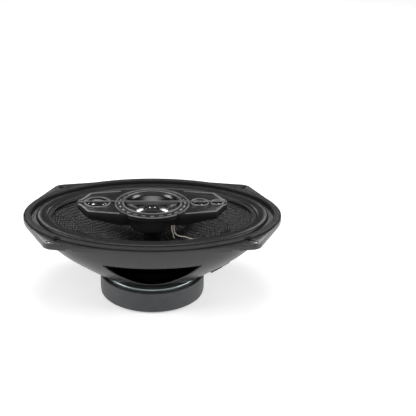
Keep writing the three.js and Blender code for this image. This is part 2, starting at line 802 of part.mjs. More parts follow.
function makeMidrange() {
  const cup = cut(
    turned([
      [0, cupBottom],
      [cupRadius - 6, cupBottom],
      [cupRadius - 2.9, cupBottom + 1.2],
      [cupRadius - 0.9, cupBottom + 3.9],
      [cupRadius, cupBottom + 8],
      [cupRadius, bridgeDiscTop - 3.3],
      [0, bridgeDiscTop - 3.3],
    ]),
    turned([
      [0, cupBottom + cupWall],
      [cupRadius - 6.8, cupBottom + cupWall],
      [cupRadius - 4.2, cupBottom + cupWall + 1],
      [cupRadius - 2.5, cupBottom + cupWall + 3],
      [cupRadius - cupWall, cupBottom + cupWall + 7],
      [cupRadius - cupWall, bridgeDiscTop],
      [0, bridgeDiscTop],
    ]),
    disc(cupScrewRadius + gap, cupBottom - 1, cupBottom + cupWall + 1, pinSides),
  );
  add("mid_cup", cup, materials.plastic);

  const frameLow = midYokeTop - 4;
  const frameInner = midYokeRadius + gap;
  const frame = turned([
    [frameInner, frameLow],
    [frameInner + 1.5, frameLow],
    [cupRadius - cupWall - gap, midNeckHeight + 3.4],
    [cupRadius - cupWall - gap, bridgeDiscTop - 3],
    [midFrameRadius, bridgeDiscTop - 2.6],
    [midFrameRadius, dialBottom],
    [dialInner - gap, dialBottom],
    [dialInner - gap, wingTop - 0.3],
    [dialInner - gap - 0.9, wingTop - 0.3],
    [midConeRadius + 0.4, midConeTop + 0.4],
    [midConeRadius + 0.4, midConeTop - 1.8],
    [cupRadius - cupWall - gap - 1.2, midNeckHeight + 4],
    [frameInner, frameLow + 1.5],
  ]);
  add("mid_frame", frame, materials.glossy);

  const yokeWall = 1.4;
  const yoke = cut(
    disc(midYokeRadius, midYokeBottom, midYokeTop),
    disc(midYokeRadius - yokeWall, midYokeBottom + yokeWall, midYokeTop + 1),
  );
  add("mid_yoke", yoke, materials.zinc);
  const coilInner = 7.6;
  const slugRadius = coilInner - 0.7;
  const slugBottom = midYokeBottom + yokeWall + gap;
  const magnetUpper = slugBottom + 2.6;
  const polePlateTop = slugBottom + 5;
  const magnet = disc(slugRadius, slugBottom, magnetUpper, smallSides);
  const polePlate = disc(slugRadius, magnetUpper + gap, polePlateTop, smallSides);
  add("mid_magnet", magnet, materials.zinc);
  add("mid_pole_plate", polePlate, materials.zinc);
  const coilBottom = slugBottom + 1.6;
  const coil = ring(coilInner, coilInner + 0.9, coilBottom, midNeckHeight + 0.4, smallSides);
  add("mid_coil", coil, materials.copper);

  const wall = 0.6;
  const slope = (midConeTop - midNeckHeight) / (midConeRadius - midNeckRadius);
  const onCone = (r) => midNeckHeight + (r - midNeckRadius) * slope;
  const cone = turned([
    [midNeckRadius, midNeckHeight - wall],
    [midConeRadius, midConeTop - wall],
    [midConeRadius, midConeTop],
    [midNeckRadius, midNeckHeight],
  ]);
  add("mid_cone", cone, materials.glossy);

  const rim = onCone(midDomeRadius) + gap;
  const rise = (r) => rim + 2.6 * Math.sqrt(Math.max(0, 1 - (r / midDomeRadius) ** 2));
  const shell = [14.6, 13.4, 11, 8, 5.6];
  const crown = shell.map((r) => [r, rise(r)]);
  const dome = turned([
    [0, rim - 0.1],
    [midDomeRadius, rim],
    ...crown.slice(1),
    [3, rim + 1.3],
    [0, rim + 1],
  ]);
  add("mid_dome", dome, materials.gunmetal);
}

// ---- Tweeters in the bridge's pods ----

function makeTweeter(pod) {
  const seat = podRecess(pod);
  const floor = wingBottomAt(Math.abs(pod.x) + pod.radius) + podFloor;
  const top = wingTop - 1.2;
  const place = (solid) => solid.translate([pod.x, 0, 0]);
  const motorTop = floor + gap + 0.4 * (top - floor);
  const motor = disc(pod.dome + 0.6, floor + gap, motorTop, smallSides);
  add(`${pod.name}_tweeter_motor`, place(motor), materials.zinc);
  const plate = turned(
    [
      [pod.dome + 1, floor + gap],
      [seat - gap, floor + gap],
      [seat - gap, top + 0.6],
      [pod.dome + 1, top - 0.9],
    ],
    smallSides,
  );
  add(`${pod.name}_tweeter_plate`, place(plate), materials.glossy);
  const domeLow = motorTop + gap + tweeterTravel;
  const height = Math.min(pod.dome * 0.45, top + 0.5 - domeLow);
  const curve = arcSteps(5, 0, Math.PI / 2).map((t) => [
    pod.dome * Math.cos(t),
    domeLow + 0.3 + height * 0.9 * Math.sin(t),
  ]);
  const last = curve.length - 1;
  const profile = [[0, domeLow], [pod.dome, domeLow], ...curve.slice(0, last), [0, curve[last][1]]];
  const dome = turned(profile, smallSides);
  add(`${pod.name}_tweeter_dome`, place(dome), materials.gunmetal);
  const trim = ring(pod.radius - trimWidth, pod.radius, trimBottom, trimBottom + trimHeight);
  add(`${pod.name}_pod_ring`, place(trim), materials.silver);
}

// ---- Leads ----

// The places that the flexible leads pass, by eye: two from the bridge to the cone, and
// the tinsel pair from the terminals through the end window to the cone's back.
const tweeterWires = {
  tweeter_wire_positive: [
    [19.4, -24.6, 76.9],
    [19.6, -23.2, 72.4],
    [21, -20.6, 66.8],
    [25, -16.4, 62.6],
    [30, -12.4, 59.9],
    [35, -9, 56.6],
    [38.6, -7, 55],
  ],
  tweeter_wire_negative: [
    [17.6, -24.9, 76.9],
    [17.6, -23.6, 72.4],
    [19, -20.6, 66.4],
    [19.8, -13, 61],
    [20.6, -4, 54.6],
    [20.4, 5, 51],
    [19.6, 11, 49.9],
  ],
};
const tinselRoute = [
  [65.8, 31],
  [70, 33.2],
  [75, 36.2],
  [80, 39.6],
  [82.4, 43.2],
  [80, 46.6],
  [72, 48.8],
  [62, 50.4],
  [52, 52.4],
  [45, 53],
];
const tinselSide = 7.2;
const wireRadius = 0.65;
const tinselRadius = 0.9;

function makeLeads() {
  for (const [name, points] of Object.entries(tweeterWires))
    add(name, swept(points, wireRadius, 12, 6), materials.wire);
  const tinselLeads = [
    ["tinsel_lead_positive", 1],
    ["tinsel_lead_negative", -1],
  ];
  for (const [name, side] of tinselLeads) {
    const points = tinselRoute.map(([x, z]) => [x, side * tinselSide, z]);
    add(name, swept(points, tinselRadius, 16, 6), materials.copper);
  }
}

// ---- Assembly ----

add("basket", makeBasket(), materials.basket);

// Each notch sits on the gasket's outer edge, where it faces a screw slot.
const notchTurn = Math.atan2(earCentre[1] / gasketOuter[1], earCentre[0] / gasketOuter[0]);
const notchAt = ovalPoint(gasketOuter[0] + notchOut, gasketOuter[1] + notchOut, notchTurn);
const notches = corners.map(([sx, sy]) =>
  disc(notchRadius, gasketBottom - 1, gasketTop + 1, smallSides).translate([
    sx * notchAt[0],
    sy * notchAt[1],
    0,
  ]),
);
const gasket = ovalTurned([
  [...gasketInner, gasketBottom],
  [...gasketOuter, gasketBottom],
  [...gasketOuter, gasketTop],
  [...gasketInner, gasketTop],
]);
add("gasket_ring", cut(gasket, ...notches), materials.gasket);
add("surround", makeSurround(), materials.surround);
add("woofer_cone", makeCone(), materials.cone);
add("lead_cover", makeLeadCover(), materials.felt);
add("spider", makeSpider(), materials.spider);
add("voice_coil_former", makeFormer(), materials.paper);
add("voice_coil_winding", makeWinding(), materials.copper);
makeMotor();
makePost();
makeBridge();
makeMidrange();
tweeterPods.forEach((pod) => makeTweeter(pod));
makeTerminals();
makeLeads();

export default group;
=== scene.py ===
# %% [markdown]
# # An oval coaxial car speaker
# This lesson dresses a working model of a 6 by 9 inch car speaker. The solids that move and
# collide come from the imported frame; here each of them gets the fine surface of the real
# thing: stamped steel, a rubber roll, a woven cone, and a bridge of small speakers on a post.
# Lengths are written in millimetres, as on a drawing, and become metres in one place.

# %% Start
import json
import math

import bmesh
import bpy
import numpy as np
from mathutils import Matrix, Vector


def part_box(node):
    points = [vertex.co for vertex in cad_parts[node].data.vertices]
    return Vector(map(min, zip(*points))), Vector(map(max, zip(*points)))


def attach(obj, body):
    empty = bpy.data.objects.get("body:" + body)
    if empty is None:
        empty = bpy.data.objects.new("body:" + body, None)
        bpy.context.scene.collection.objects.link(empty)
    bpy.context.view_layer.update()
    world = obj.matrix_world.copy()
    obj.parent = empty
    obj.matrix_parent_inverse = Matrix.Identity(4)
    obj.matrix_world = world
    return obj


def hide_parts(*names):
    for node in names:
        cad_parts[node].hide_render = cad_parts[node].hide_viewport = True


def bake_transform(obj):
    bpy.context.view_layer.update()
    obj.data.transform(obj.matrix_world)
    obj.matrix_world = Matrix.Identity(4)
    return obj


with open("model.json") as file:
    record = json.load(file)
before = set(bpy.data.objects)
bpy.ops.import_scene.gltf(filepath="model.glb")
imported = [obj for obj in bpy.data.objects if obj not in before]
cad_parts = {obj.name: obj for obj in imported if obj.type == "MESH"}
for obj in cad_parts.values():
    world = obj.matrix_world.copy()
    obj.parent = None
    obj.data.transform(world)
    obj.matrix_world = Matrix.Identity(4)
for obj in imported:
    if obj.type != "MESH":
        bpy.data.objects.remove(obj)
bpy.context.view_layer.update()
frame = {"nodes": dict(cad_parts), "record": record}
MM = 0.001
scene = bpy.context.scene

# %% [markdown]
# Each solid of the frame says which body it moves with and which finish it takes. Looking
# these up in the record keeps names and bodies in one place, so that a piece below only has
# to name the solid it stands for.

# %% The frame's own facts
record = frame["record"]
slot_of = {part["node"]: part["material_slot"] for part in record["subparts"]}
body_of = {
    node: body for body, nodes in record["behaviour"]["bodies"].items() for node in nodes
}


def span(node):
    """The lowest and highest corner of a solid, in millimetres."""
    low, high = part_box(node)
    return low / MM, high / MM


basket_low, basket_high = span("basket")
half_length, half_width = basket_high.x, basket_high.y
print("flange", round(2 * half_length, 1), "by", round(2 * half_width, 1), "mm")

# %% [markdown]
# ## Shapes
# Nearly everything round the cone is a section carried round the centre, on circles or on
# ovals. One helper does both: each point of the section has a half-length, a half-width and
# a height. The section runs anticlockwise, which makes the faces point outwards.

# %% A section carried round
def oval_turned(section, turns=192, centre=(0, 0)):
    """The points and faces of a closed section carried round Z on ovals."""
    section = np.array(section, float)
    angle = np.linspace(0, 2 * math.pi, turns, endpoint=False)[:, None]
    x = np.cos(angle) * section[:, 0] + centre[0]
    y = np.sin(angle) * section[:, 1] + centre[1]
    z = np.broadcast_to(section[:, 2], x.shape)
    points = np.stack([x, y, z], -1).reshape(-1, 3)
    return points, round_faces(turns, len(section))


def round_faces(turns, count):
    """Quads between turns of a section of count points, closed both ways."""
    faces = []
    for i in range(turns):
        here, there = i * count, (i + 1) % turns * count
        for j in range(count):
            k = (j + 1) % count
            faces.append((here + j, there + j, there + k, here + k))
    return faces


def turned(section, turns=96, centre=(0, 0)):
    """The same for a section of [radius, height] points."""
    return oval_turned([(r, r, z) for r, z in section], turns, centre)


# %% [markdown]
# Real edges are never sharp: a stamped edge is rolled, a moulded one has a small radius.
# Rounding the section's corners before it is carried round gives those edges a highlight,
# which is what the eye reads as metal or rubber.

# %% Rounding a section's corners
def eased(section, radius, steps=3, least=20):
    """The section with each corner that turns more than `least` degrees rounded."""
    points = [np.array(p, float) for p in section]
    result = []
    for i, corner in enumerate(points):
        into, out = points[i - 1] - corner, points[(i + 1) % len(points)] - corner
        long_in, long_out = np.linalg.norm(into), np.linalg.norm(out)
        if abs(corner[0]) < 1e-6 or long_in < 1e-6 or long_out < 1e-6:
            result.append(corner)
            continue
        cosine = float(np.clip(-(into @ out) / (long_in * long_out), -1, 1))
        if math.degrees(math.acos(cosine)) < least:
            result.append(corner)
            continue
        start = corner + into / long_in * min(radius, 0.45 * long_in)
        end = corner + out / long_out * min(radius, 0.45 * long_out)
        for step in range(steps + 1):
            t = step / steps
            result.append((1 - t) ** 2 * start + 2 * t * (1 - t) * corner + t * t * end)
    return result


# %% [markdown]
# Plates and bars are outlines raised along Z. Several shapes can be put together in one mesh,
# and a shape can be moved by a matrix before it becomes a piece.

# %% Outlines and moves
def prism(outline, low, high):
    """An outline, anticlockwise from above, raised from low to high."""
    count = len(outline)
    points = [(x, y, low) for x, y in outline] + [(x, y, high) for x, y in outline]
    sides = [(i, (i + 1) % count, (i + 1) % count + count, i + count) for i in range(count)]
    caps = [tuple(range(count - 1, -1, -1)), tuple(range(count, 2 * count))]
    return np.array(points, float), sides + caps


def moved(shape, matrix):
    """The shape after a 4 by 4 matrix, in millimetres."""
    points, faces = shape
    return np.array([matrix @ Vector(p) for p in points]), faces


def together(*shapes):
    """Several shapes in one list of points and faces."""
    points, faces, shift = [], [], 0
    for some_points, some_faces in shapes:
        points.append(np.asarray(some_points, float))
        faces += [tuple(i + shift for i in face) for face in some_faces]
        shift += len(some_points)
    return np.concatenate(points), faces


def circle(radius, count=96, centre=(0, 0)):
    """Points on a circle, anticlockwise."""
    angles = [2 * math.pi * i / count for i in range(count)]
    return [(centre[0] + radius * math.cos(t), centre[1] + radius * math.sin(t)) for t in angles]


# %% [markdown]
# A shape becomes a piece in the scene here. The printed volume is a quick test: it comes out
# negative when a shape is inside out, long before a render would show it.

# %% From shape to piece
def build(name, shape, weld=True):
    """A mesh object from a shape, at the origin, in metres."""
    points, faces = shape
    mesh = bpy.data.meshes.new(name)
    mesh.from_pydata((np.asarray(points) * MM).tolist(), [], faces)
    if weld:
        work = bmesh.new()
        work.from_mesh(mesh)
        bmesh.ops.remove_doubles(work, verts=work.verts, dist=1e-7)
        loose = [edge for edge in work.edges if not edge.link_faces]
        bmesh.ops.delete(work, geom=loose, context="EDGES")
        work.to_mesh(mesh)
        work.free()
    piece = bpy.data.objects.new(name, mesh)
    scene.collection.objects.link(piece)
    return piece


def volume_of(piece):
    """The signed volume in cubic millimetres."""
    work = bmesh.new()
    work.from_mesh(piece.data)
    volume = work.calc_volume(signed=True) / MM**3
    work.free()
    return volume


# %% Claiming a frame solid
def claim(piece, *nodes, sharp=32, rides=True):
    """The piece stands for these solids: it takes their body and their finish."""
    mesh = piece.data
    mesh.shade_smooth()
    mesh.set_sharp_from_angle(angle=math.radians(sharp))
    mesh.materials.clear()
    mesh.materials.append(looks[slot_of[nodes[0]]])
    if rides:
        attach(piece, body_of[nodes[0]])
    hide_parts(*nodes)
    print(f"{piece.name}: {len(mesh.polygons)} faces, {volume_of(piece):.0f} mm3")
    return piece


# %% [markdown]
# Holes, windows and pockets are cut with the Boolean modifier, and small edge radii come from
# the Bevel modifier. Both are applied at once by copying the evaluated mesh, so every piece
# ends as a plain mesh.

# %% Cutting and bevelling
def settle(piece):
    """Applies the modifiers by copying the evaluated mesh."""
    depsgraph = bpy.context.evaluated_depsgraph_get()
    mesh = bpy.data.meshes.new_from_object(piece.evaluated_get(depsgraph))
    piece.modifiers.clear()
    piece.data = mesh


def carve(piece, cutter_shape, operation="DIFFERENCE"):
    """Cuts a shape out of the piece, or joins it on."""
    cutter = build("cutter", cutter_shape)
    boolean = piece.modifiers.new("carve", "BOOLEAN")
    boolean.operation = operation
    boolean.solver = "EXACT"
    boolean.object = cutter
    settle(piece)
    bpy.data.objects.remove(cutter)


def bevel(piece, width, segments=2, angle=35):
    """Rounds every edge that is sharper than the angle."""
    rounding = piece.modifiers.new("edge radius", "BEVEL")
    rounding.width = width * MM
    rounding.segments = segments
    rounding.limit_method = "ANGLE"
    rounding.angle_limit = math.radians(angle)
    settle(piece)


# %% [markdown]
# ## Geometry Nodes
# What repeats is grown by Geometry Nodes: the dial's marks, the rivets, the knots of the
# woven cone and the twisted leads. These helpers make a tree with named inputs, wire its
# nodes, set the inputs on a modifier by their identifiers, and keep the evaluated result as
# a plain mesh.

# %% A tree with named inputs
def growing_tree(name, inputs):
    """A Geometry Nodes tree with a geometry input and output and some named sizes."""
    tree = bpy.data.node_groups.new(name, "GeometryNodeTree")
    tree.is_modifier = True
    tree.interface.new_socket("Geometry", in_out="INPUT", socket_type="NodeSocketGeometry")
    for label, kind in inputs:
        tree.interface.new_socket(label, in_out="INPUT", socket_type=kind)
    tree.interface.new_socket("Geometry", in_out="OUTPUT", socket_type="NodeSocketGeometry")
    return tree, tree.nodes.new("NodeGroupInput"), tree.nodes.new("NodeGroupOutput")


def node(tree, kind, links=None, **settings):
    """A node with settings and with inputs that are sockets or plain values."""
    made = tree.nodes.new(kind)
    for key, value in settings.items():
        setattr(made, key, value)
    for key, value in (links or {}).items():
        socket = made.inputs[key]
        if isinstance(value, bpy.types.NodeSocket):
            tree.links.new(value, socket)
        else:
            socket.default_value = value
    return made


def finish_tree(tree, exit_node, geometry, look):
    """Makes instances real, gives them their finish, and ends the tree."""
    real = node(tree, "GeometryNodeRealizeInstances", {"Geometry": geometry})
    painted = node(
        tree, "GeometryNodeSetMaterial", {"Geometry": real.outputs[0], "Material": look}
    )
    tree.links.new(painted.outputs[0], exit_node.inputs[0])


# %% Growing a piece
def grow(name, tree, values, seed=None):
    """Runs a tree on a seed mesh and returns the result as a plain piece."""
    holder = bpy.data.objects.new(name + "_seed", seed or bpy.data.meshes.new(name + "_seed"))
    scene.collection.objects.link(holder)
    modifier = holder.modifiers.new(tree.name, "NODES")
    modifier.node_group = tree
    identifier = {
        item.name: item.identifier
        for item in tree.interface.items_tree
        if item.item_type == "SOCKET" and item.in_out == "INPUT"
    }
    for label, value in values.items():
        modifier[identifier[label]] = value
    depsgraph = bpy.context.evaluated_depsgraph_get()
    mesh = bpy.data.meshes.new_from_object(holder.evaluated_get(depsgraph))
    bpy.data.objects.remove(holder)
    piece = bpy.data.objects.new(name, mesh)
    scene.collection.objects.link(piece)
    return piece


def seed_points(points, edges=()):
    """A mesh of points, and edges between them, in metres."""
    mesh = bpy.data.meshes.new("seed")
    mesh.from_pydata([tuple(c * MM for c in p) for p in points], list(edges), [])
    return mesh


# %% [markdown]
# ## Finishes
# Four effects come back in most finishes, so each is a shader group built once: a fine grain
# that breaks up highlights, the soft smudges that handling leaves, a little dust on what
# faces up, and the over-and-under pattern of woven cloth. A group only puts out values; the
# Principled shader stays in each material.

# %% A shader group with named sockets
def shader_group(name, inputs, outputs):
    """An empty shader group with float inputs and outputs."""
    tree = bpy.data.node_groups.new(name, "ShaderNodeTree")
    for label, default in inputs:
        socket = tree.interface.new_socket(label, in_out="INPUT", socket_type="NodeSocketFloat")
        socket.default_value = default
    for label in outputs:
        tree.interface.new_socket(label, in_out="OUTPUT", socket_type="NodeSocketFloat")
    return tree, tree.nodes.new("NodeGroupInput"), tree.nodes.new("NodeGroupOutput")


def maths(tree, operation, first, second=0.0, third=0.0, clamp=False):
    """A Math node's output."""
    links = {0: first, 1: second, 2: third}
    made = node(tree, "ShaderNodeMath", links, operation=operation)
    made.use_clamp = clamp
    return made.outputs[0]


def noise(tree, scale, detail=3.0, roughness=0.55):
    """A Noise node's value in Object coordinates."""
    place = node(tree, "ShaderNodeTexCoord").outputs["Object"]
    links = {"Vector": place, "Scale": scale, "Detail": detail, "Roughness": roughness}
    return node(tree, "ShaderNodeTexNoise", links).outputs["Fac"]


# %% Grain
grain_group, enter, leave = shader_group(
    "fine_grain", [("Scale", 900.0), ("Amount", 1.0)], ["Height", "Shade"]
)
fine = noise(grain_group, enter.outputs["Scale"], 2.0)
coarse = noise(grain_group, maths(grain_group, "MULTIPLY", enter.outputs["Scale"], 0.11), 3.0)
mixed = maths(grain_group, "ADD", maths(grain_group, "MULTIPLY", fine, 0.7), coarse)
grain_group.links.new(
    maths(grain_group, "MULTIPLY", mixed, enter.outputs["Amount"]), leave.inputs["Height"]
)
grain_group.links.new(
    maths(grain_group, "MULTIPLY_ADD", coarse, 0.5, 0.75), leave.inputs["Shade"]
)
print("grain group ready")

# %% Smudges
smudge_group, enter, leave = shader_group(
    "handling_smudge", [("Size", 45.0), ("Amount", 0.1)], ["Roughness change"]
)
patch = noise(smudge_group, enter.outputs["Size"], 4.0, 0.6)
centred = maths(smudge_group, "SUBTRACT", patch, 0.5)
smudge_group.links.new(
    maths(smudge_group, "MULTIPLY", centred, enter.outputs["Amount"]),
    leave.inputs["Roughness change"],
)

# %% Dust
dust_group, enter, leave = shader_group("settled_dust", [("Amount", 0.1)], ["Mask"])
upward = node(
    dust_group,
    "ShaderNodeSeparateXYZ",
    {0: node(dust_group, "ShaderNodeNewGeometry").outputs["Normal"]},
).outputs["Z"]
specks = noise(dust_group, 260.0, 5.0, 0.7)
facing = maths(dust_group, "MULTIPLY", maths(dust_group, "MAXIMUM", upward, 0.0), specks)
dust_group.links.new(
    maths(dust_group, "MULTIPLY", facing, enter.outputs["Amount"], clamp=True),
    leave.inputs["Mask"],
)

# %% Weave
weave_group, enter, leave = shader_group(
    "woven_cloth", [("Pitch", 0.0032)], ["Height", "Thread"]
)
place = node(weave_group, "ShaderNodeTexCoord").outputs["Object"]
split = node(weave_group, "ShaderNodeSeparateXYZ", {0: place}).outputs
waves = []
for side in ("ADD", "SUBTRACT"):
    slanted = maths(weave_group, side, split["X"], split["Y"])
    turns = maths(weave_group, "DIVIDE", slanted, enter.outputs["Pitch"])
    half_turns = maths(weave_group, "MULTIPLY", turns, math.pi * math.sqrt(0.5))
    waves.append(maths(weave_group, "COSINE", half_turns))
crossing = maths(weave_group, "MULTIPLY", waves[0], waves[1])
weave_group.links.new(maths(weave_group, "ABSOLUTE", crossing), leave.inputs["Height"])
weave_group.links.new(
    maths(weave_group, "MULTIPLY_ADD", crossing, 0.5, 0.5), leave.inputs["Thread"]
)
print("shader groups", [g.name for g in bpy.data.node_groups if g.bl_idname == "ShaderNodeTree"])


# %% [markdown]
# Every finish starts from the same arrangement: a base colour that the grain's slow part
# shades, a roughness that smudges shift, dust that lightens what faces up, and a bump from the
# grain. Roughness, metal and shine tell rubber from paint and plate, so those are the numbers
# that each finish sets for itself.

# %% A finish
def placed_group(tree, group, **values):
    """A group node with its inputs set."""
    made = tree.nodes.new("ShaderNodeGroup")
    made.node_tree = group
    for label, value in values.items():
        made.inputs[label].default_value = value
    return made


def finish(
    name, colour, rough, metal=0.0, grain=900.0, bump=0.06, smudge=0.12, dust=0.05, shine=0.3
):
    """A material with grain, smudges and dust."""
    look = bpy.data.materials.new(name)
    look.use_nodes = True
    tree = look.node_tree
    shader = tree.nodes["Principled BSDF"]
    shader.inputs["Metallic"].default_value = metal
    shader.inputs["Specular IOR Level"].default_value = shine
    surface = placed_group(tree, grain_group, Scale=grain)
    smudges = placed_group(tree, smudge_group, Amount=smudge)
    settled = placed_group(tree, dust_group, Amount=dust)
    shaded = node(tree, "ShaderNodeMix", data_type="RGBA", blend_type="MULTIPLY")
    shaded.inputs["Factor"].default_value = 1.0
    shaded.inputs["A"].default_value = (*colour, 1)
    tree.links.new(surface.outputs["Shade"], shaded.inputs["B"])
    dusty = node(tree, "ShaderNodeMix", data_type="RGBA")
    dusty.inputs["B"].default_value = (0.22, 0.215, 0.2, 1)
    tree.links.new(settled.outputs["Mask"], dusty.inputs["Factor"])
    tree.links.new(shaded.outputs["Result"], dusty.inputs["A"])
    tree.links.new(dusty.outputs["Result"], shader.inputs["Base Color"])
    roughness = maths(tree, "ADD", smudges.outputs[0], rough, clamp=True)
    tree.links.new(roughness, shader.inputs["Roughness"])
    relief = node(tree, "ShaderNodeBump", {"Strength": bump, "Distance": 0.0004})
    tree.links.new(surface.outputs["Height"], relief.inputs["Height"])
    tree.links.new(relief.outputs["Normal"], shader.inputs["Normal"])
    return look


# %% [markdown]
# The speaker's palette is black on black: satin powder coat, glossy butyl rubber, dull
# gasket, mirror-like plastic. What keeps them apart is mostly roughness. Plated steel, the
# silver edge lines and the gunmetal domes are the only bright parts. The cone's knots are
# painted paler than its cloth, and the drum under the dial greyer than the bridge's plastic:
# this is painted light, so that both still show in the shade of the bowl.

# %% The palette
looks = {
    "basket_paint": finish(
        "basket_paint", (0.013, 0.013, 0.014), 0.3, grain=1500, bump=0.02, shine=0.5
    ),
    "gasket_rubber": finish("gasket_rubber", (0.015, 0.015, 0.016), 0.5, grain=1200, bump=0.08),
    "surround_rubber": finish("surround_rubber", (0.012, 0.012, 0.013), 0.3, bump=0.04),
    "cone_pulp": finish("cone_pulp", (0.009, 0.009, 0.01), 0.36, dust=0.02, shine=0.5),
    # Painted light: the knots are paler than the cloth so that they show in the bowl's shade.
    "knot_thread_painted_light": finish("knot_thread_painted_light", (0.035, 0.035, 0.037), 0.24, dust=0.0, shine=0.5),
    # Black cloth, darkened further as painted shade so that the basket's windows stay dark.
    "spider_cloth": finish("spider_cloth", (0.0015, 0.0015, 0.0015), 0.9, dust=0.0, shine=0.0),
    "boot_rubber": finish("boot_rubber", (0.045, 0.046, 0.048), 0.5, bump=0.05, dust=0.01),
    "zinc_steel": finish("zinc_steel", (0.3, 0.34, 0.34), 0.3, 0.9, bump=0.05),
    "ferrite": finish("ferrite", (0.02, 0.02, 0.022), 0.75, bump=0.2),
    "black_plastic": finish("black_plastic", (0.006, 0.006, 0.007), 0.36, bump=0.06),
    # Painted light: greyer than the bridge's plastic so that the drum shows in the bowl's shade.
    "drum_plastic_painted_light": finish("drum_plastic_painted_light", (0.022, 0.022, 0.023), 0.4, bump=0.06),
    "silver_trim": finish("silver_trim", (0.27, 0.27, 0.275), 0.36, 0.7, dust=0.0),
    "gunmetal": finish("gunmetal", (0.2, 0.195, 0.19), 0.17, 0.95, bump=0.02, dust=0.01),
    "gloss_black": finish(
        "gloss_black", (0.004, 0.004, 0.005), 0.2, bump=0.01, dust=0.01, shine=0.6
    ),
    "former_paper": finish("former_paper", (0.06, 0.04, 0.025), 0.7),
    "copper_wire": finish("copper_wire", (0.3, 0.13, 0.07), 0.35, 0.9, bump=0.04),
    "black_felt": finish("black_felt", (0.005, 0.005, 0.005), 0.85, grain=2500, bump=0.5),
    "lead_insulation": finish("lead_insulation", (0.75, 0.7, 0.6), 0.45, dust=0.0),
    "phenolic_board": finish("phenolic_board", (0.015, 0.013, 0.012), 0.5, bump=0.1),
    "brass_tin": finish("brass_tin", (0.16, 0.15, 0.13), 0.34, 0.9, dust=0.0),
}
print(len(looks), "finishes")

# %% [markdown]
# The cone's cloth shows its threads, the spider's cloth is finer, and both get the weave as a
# bump on top of their grain. Adding the weave's height to the grain's keeps one Bump node.

# %% Cloth finishes
def add_weave(look, pitch, amount, shade):
    """Adds the weave's height to the bump and its threads to the colour."""
    tree = look.node_tree
    cloth = placed_group(tree, weave_group, Pitch=pitch)
    relief = next(n for n in tree.nodes if n.bl_idname == "ShaderNodeBump")
    grain_height = relief.inputs["Height"].links[0].from_socket
    both = maths(tree, "MULTIPLY_ADD", cloth.outputs["Height"], amount, grain_height)
    tree.links.new(both, relief.inputs["Height"])
    relief.inputs["Strength"].default_value = 0.35
    shader = tree.nodes["Principled BSDF"]
    colour = shader.inputs["Base Color"].links[0].from_socket
    threads = node(tree, "ShaderNodeMix", data_type="RGBA", blend_type="MULTIPLY")
    threads.inputs["Factor"].default_value = shade
    tree.links.new(colour, threads.inputs["A"])
    tree.links.new(cloth.outputs["Thread"], threads.inputs["B"])
    tree.links.new(threads.outputs["Result"], shader.inputs["Base Color"])


weave_pitch, spider_pitch = 3.2, 1.2
add_weave(looks["cone_pulp"], weave_pitch * MM, 2.2, 0.5)
add_weave(looks["spider_cloth"], spider_pitch * MM, 1.2, 0.4)

# %% [markdown]
# Plated steel carries the fine circles of the lathe. A wave in rings round the object's
# centre, squeezed to a fraction of a millimetre, gives the top plate that turned look. The
# zinc's faint blue-green is its base colour, made uneven by the grain's slow part.

# %% Turned zinc
zinc_tree = looks["zinc_steel"].node_tree
rings = node(
    zinc_tree,
    "ShaderNodeTexWave",
    {
        "Vector": node(zinc_tree, "ShaderNodeTexCoord").outputs["Object"],
        "Scale": 700.0,
        "Distortion": 0.6,
    },
    wave_type="RINGS",
    rings_direction="Z",
)
zinc_bump = next(n for n in zinc_tree.nodes if n.bl_idname == "ShaderNodeBump")
zinc_grain = zinc_bump.inputs["Height"].links[0].from_socket
lathe = maths(zinc_tree, "MULTIPLY_ADD", rings.outputs["Fac"], 0.25, zinc_grain)
zinc_tree.links.new(lathe, zinc_bump.inputs["Height"])
print("turned rings on zinc")

# %% Finishes on the hidden solids
for name, solid in frame["nodes"].items():
    solid.data.materials.clear()
    solid.data.materials.append(looks[slot_of[name]])
print("finished", len(frame["nodes"]), "solids")

# %% [markdown]
# ## The basket
# The basket is one steel stamping: a floor on the motor, a flaring oval skirt, a recessed
# seat, and a flange with four ears and a turned-down lip. It is made as one section carried
# round the centre, where each turn of the section is stretched to reach the flange's own
# outline. That keeps the mesh in even rings, which bends highlights smoothly.

# %% The flange's outline
ear_x, ear_y, ear_radius = half_length - 32.5, half_width - 23.5, 10.1
corners = [(1, 1), (-1, 1), (-1, -1), (1, -1)]


def hull(points):
    """The convex outline round points, anticlockwise."""
    points = sorted(set(points))

    def half(run):
        chain = []
        for p in run:
            while len(chain) > 1:
                (ax, ay), (bx, by) = chain[-2:]
                if (bx - ax) * (p[1] - ay) - (by - ay) * (p[0] - ax) > 0:
                    break
                chain.pop()
            chain.append(p)
        return chain[:-1]

    return half(points) + half(points[::-1])


def oval(inset, count=480):
    """The flange's oval, drawn in by an inset."""
    a, b = half_length - inset, half_width - inset
    turns = [2 * math.pi * i / count for i in range(count)]
    return [(a * math.cos(t), b * math.sin(t)) for t in turns]


def flange_outline(inset):
    """The oval drawn out to four round ears."""
    ears = [
        point
        for sx, sy in corners
        for point in circle(ear_radius - inset, 120, (sx * ear_x, sy * ear_y))
    ]
    return hull(oval(inset) + ears)


# %% [markdown]
# For every direction from the centre, the outline is met once. Reading that distance for
# every turn of the section gives the flange's reach, and the same for the lip's inner face.

# %% How far the outline reaches
basket_turns = 480


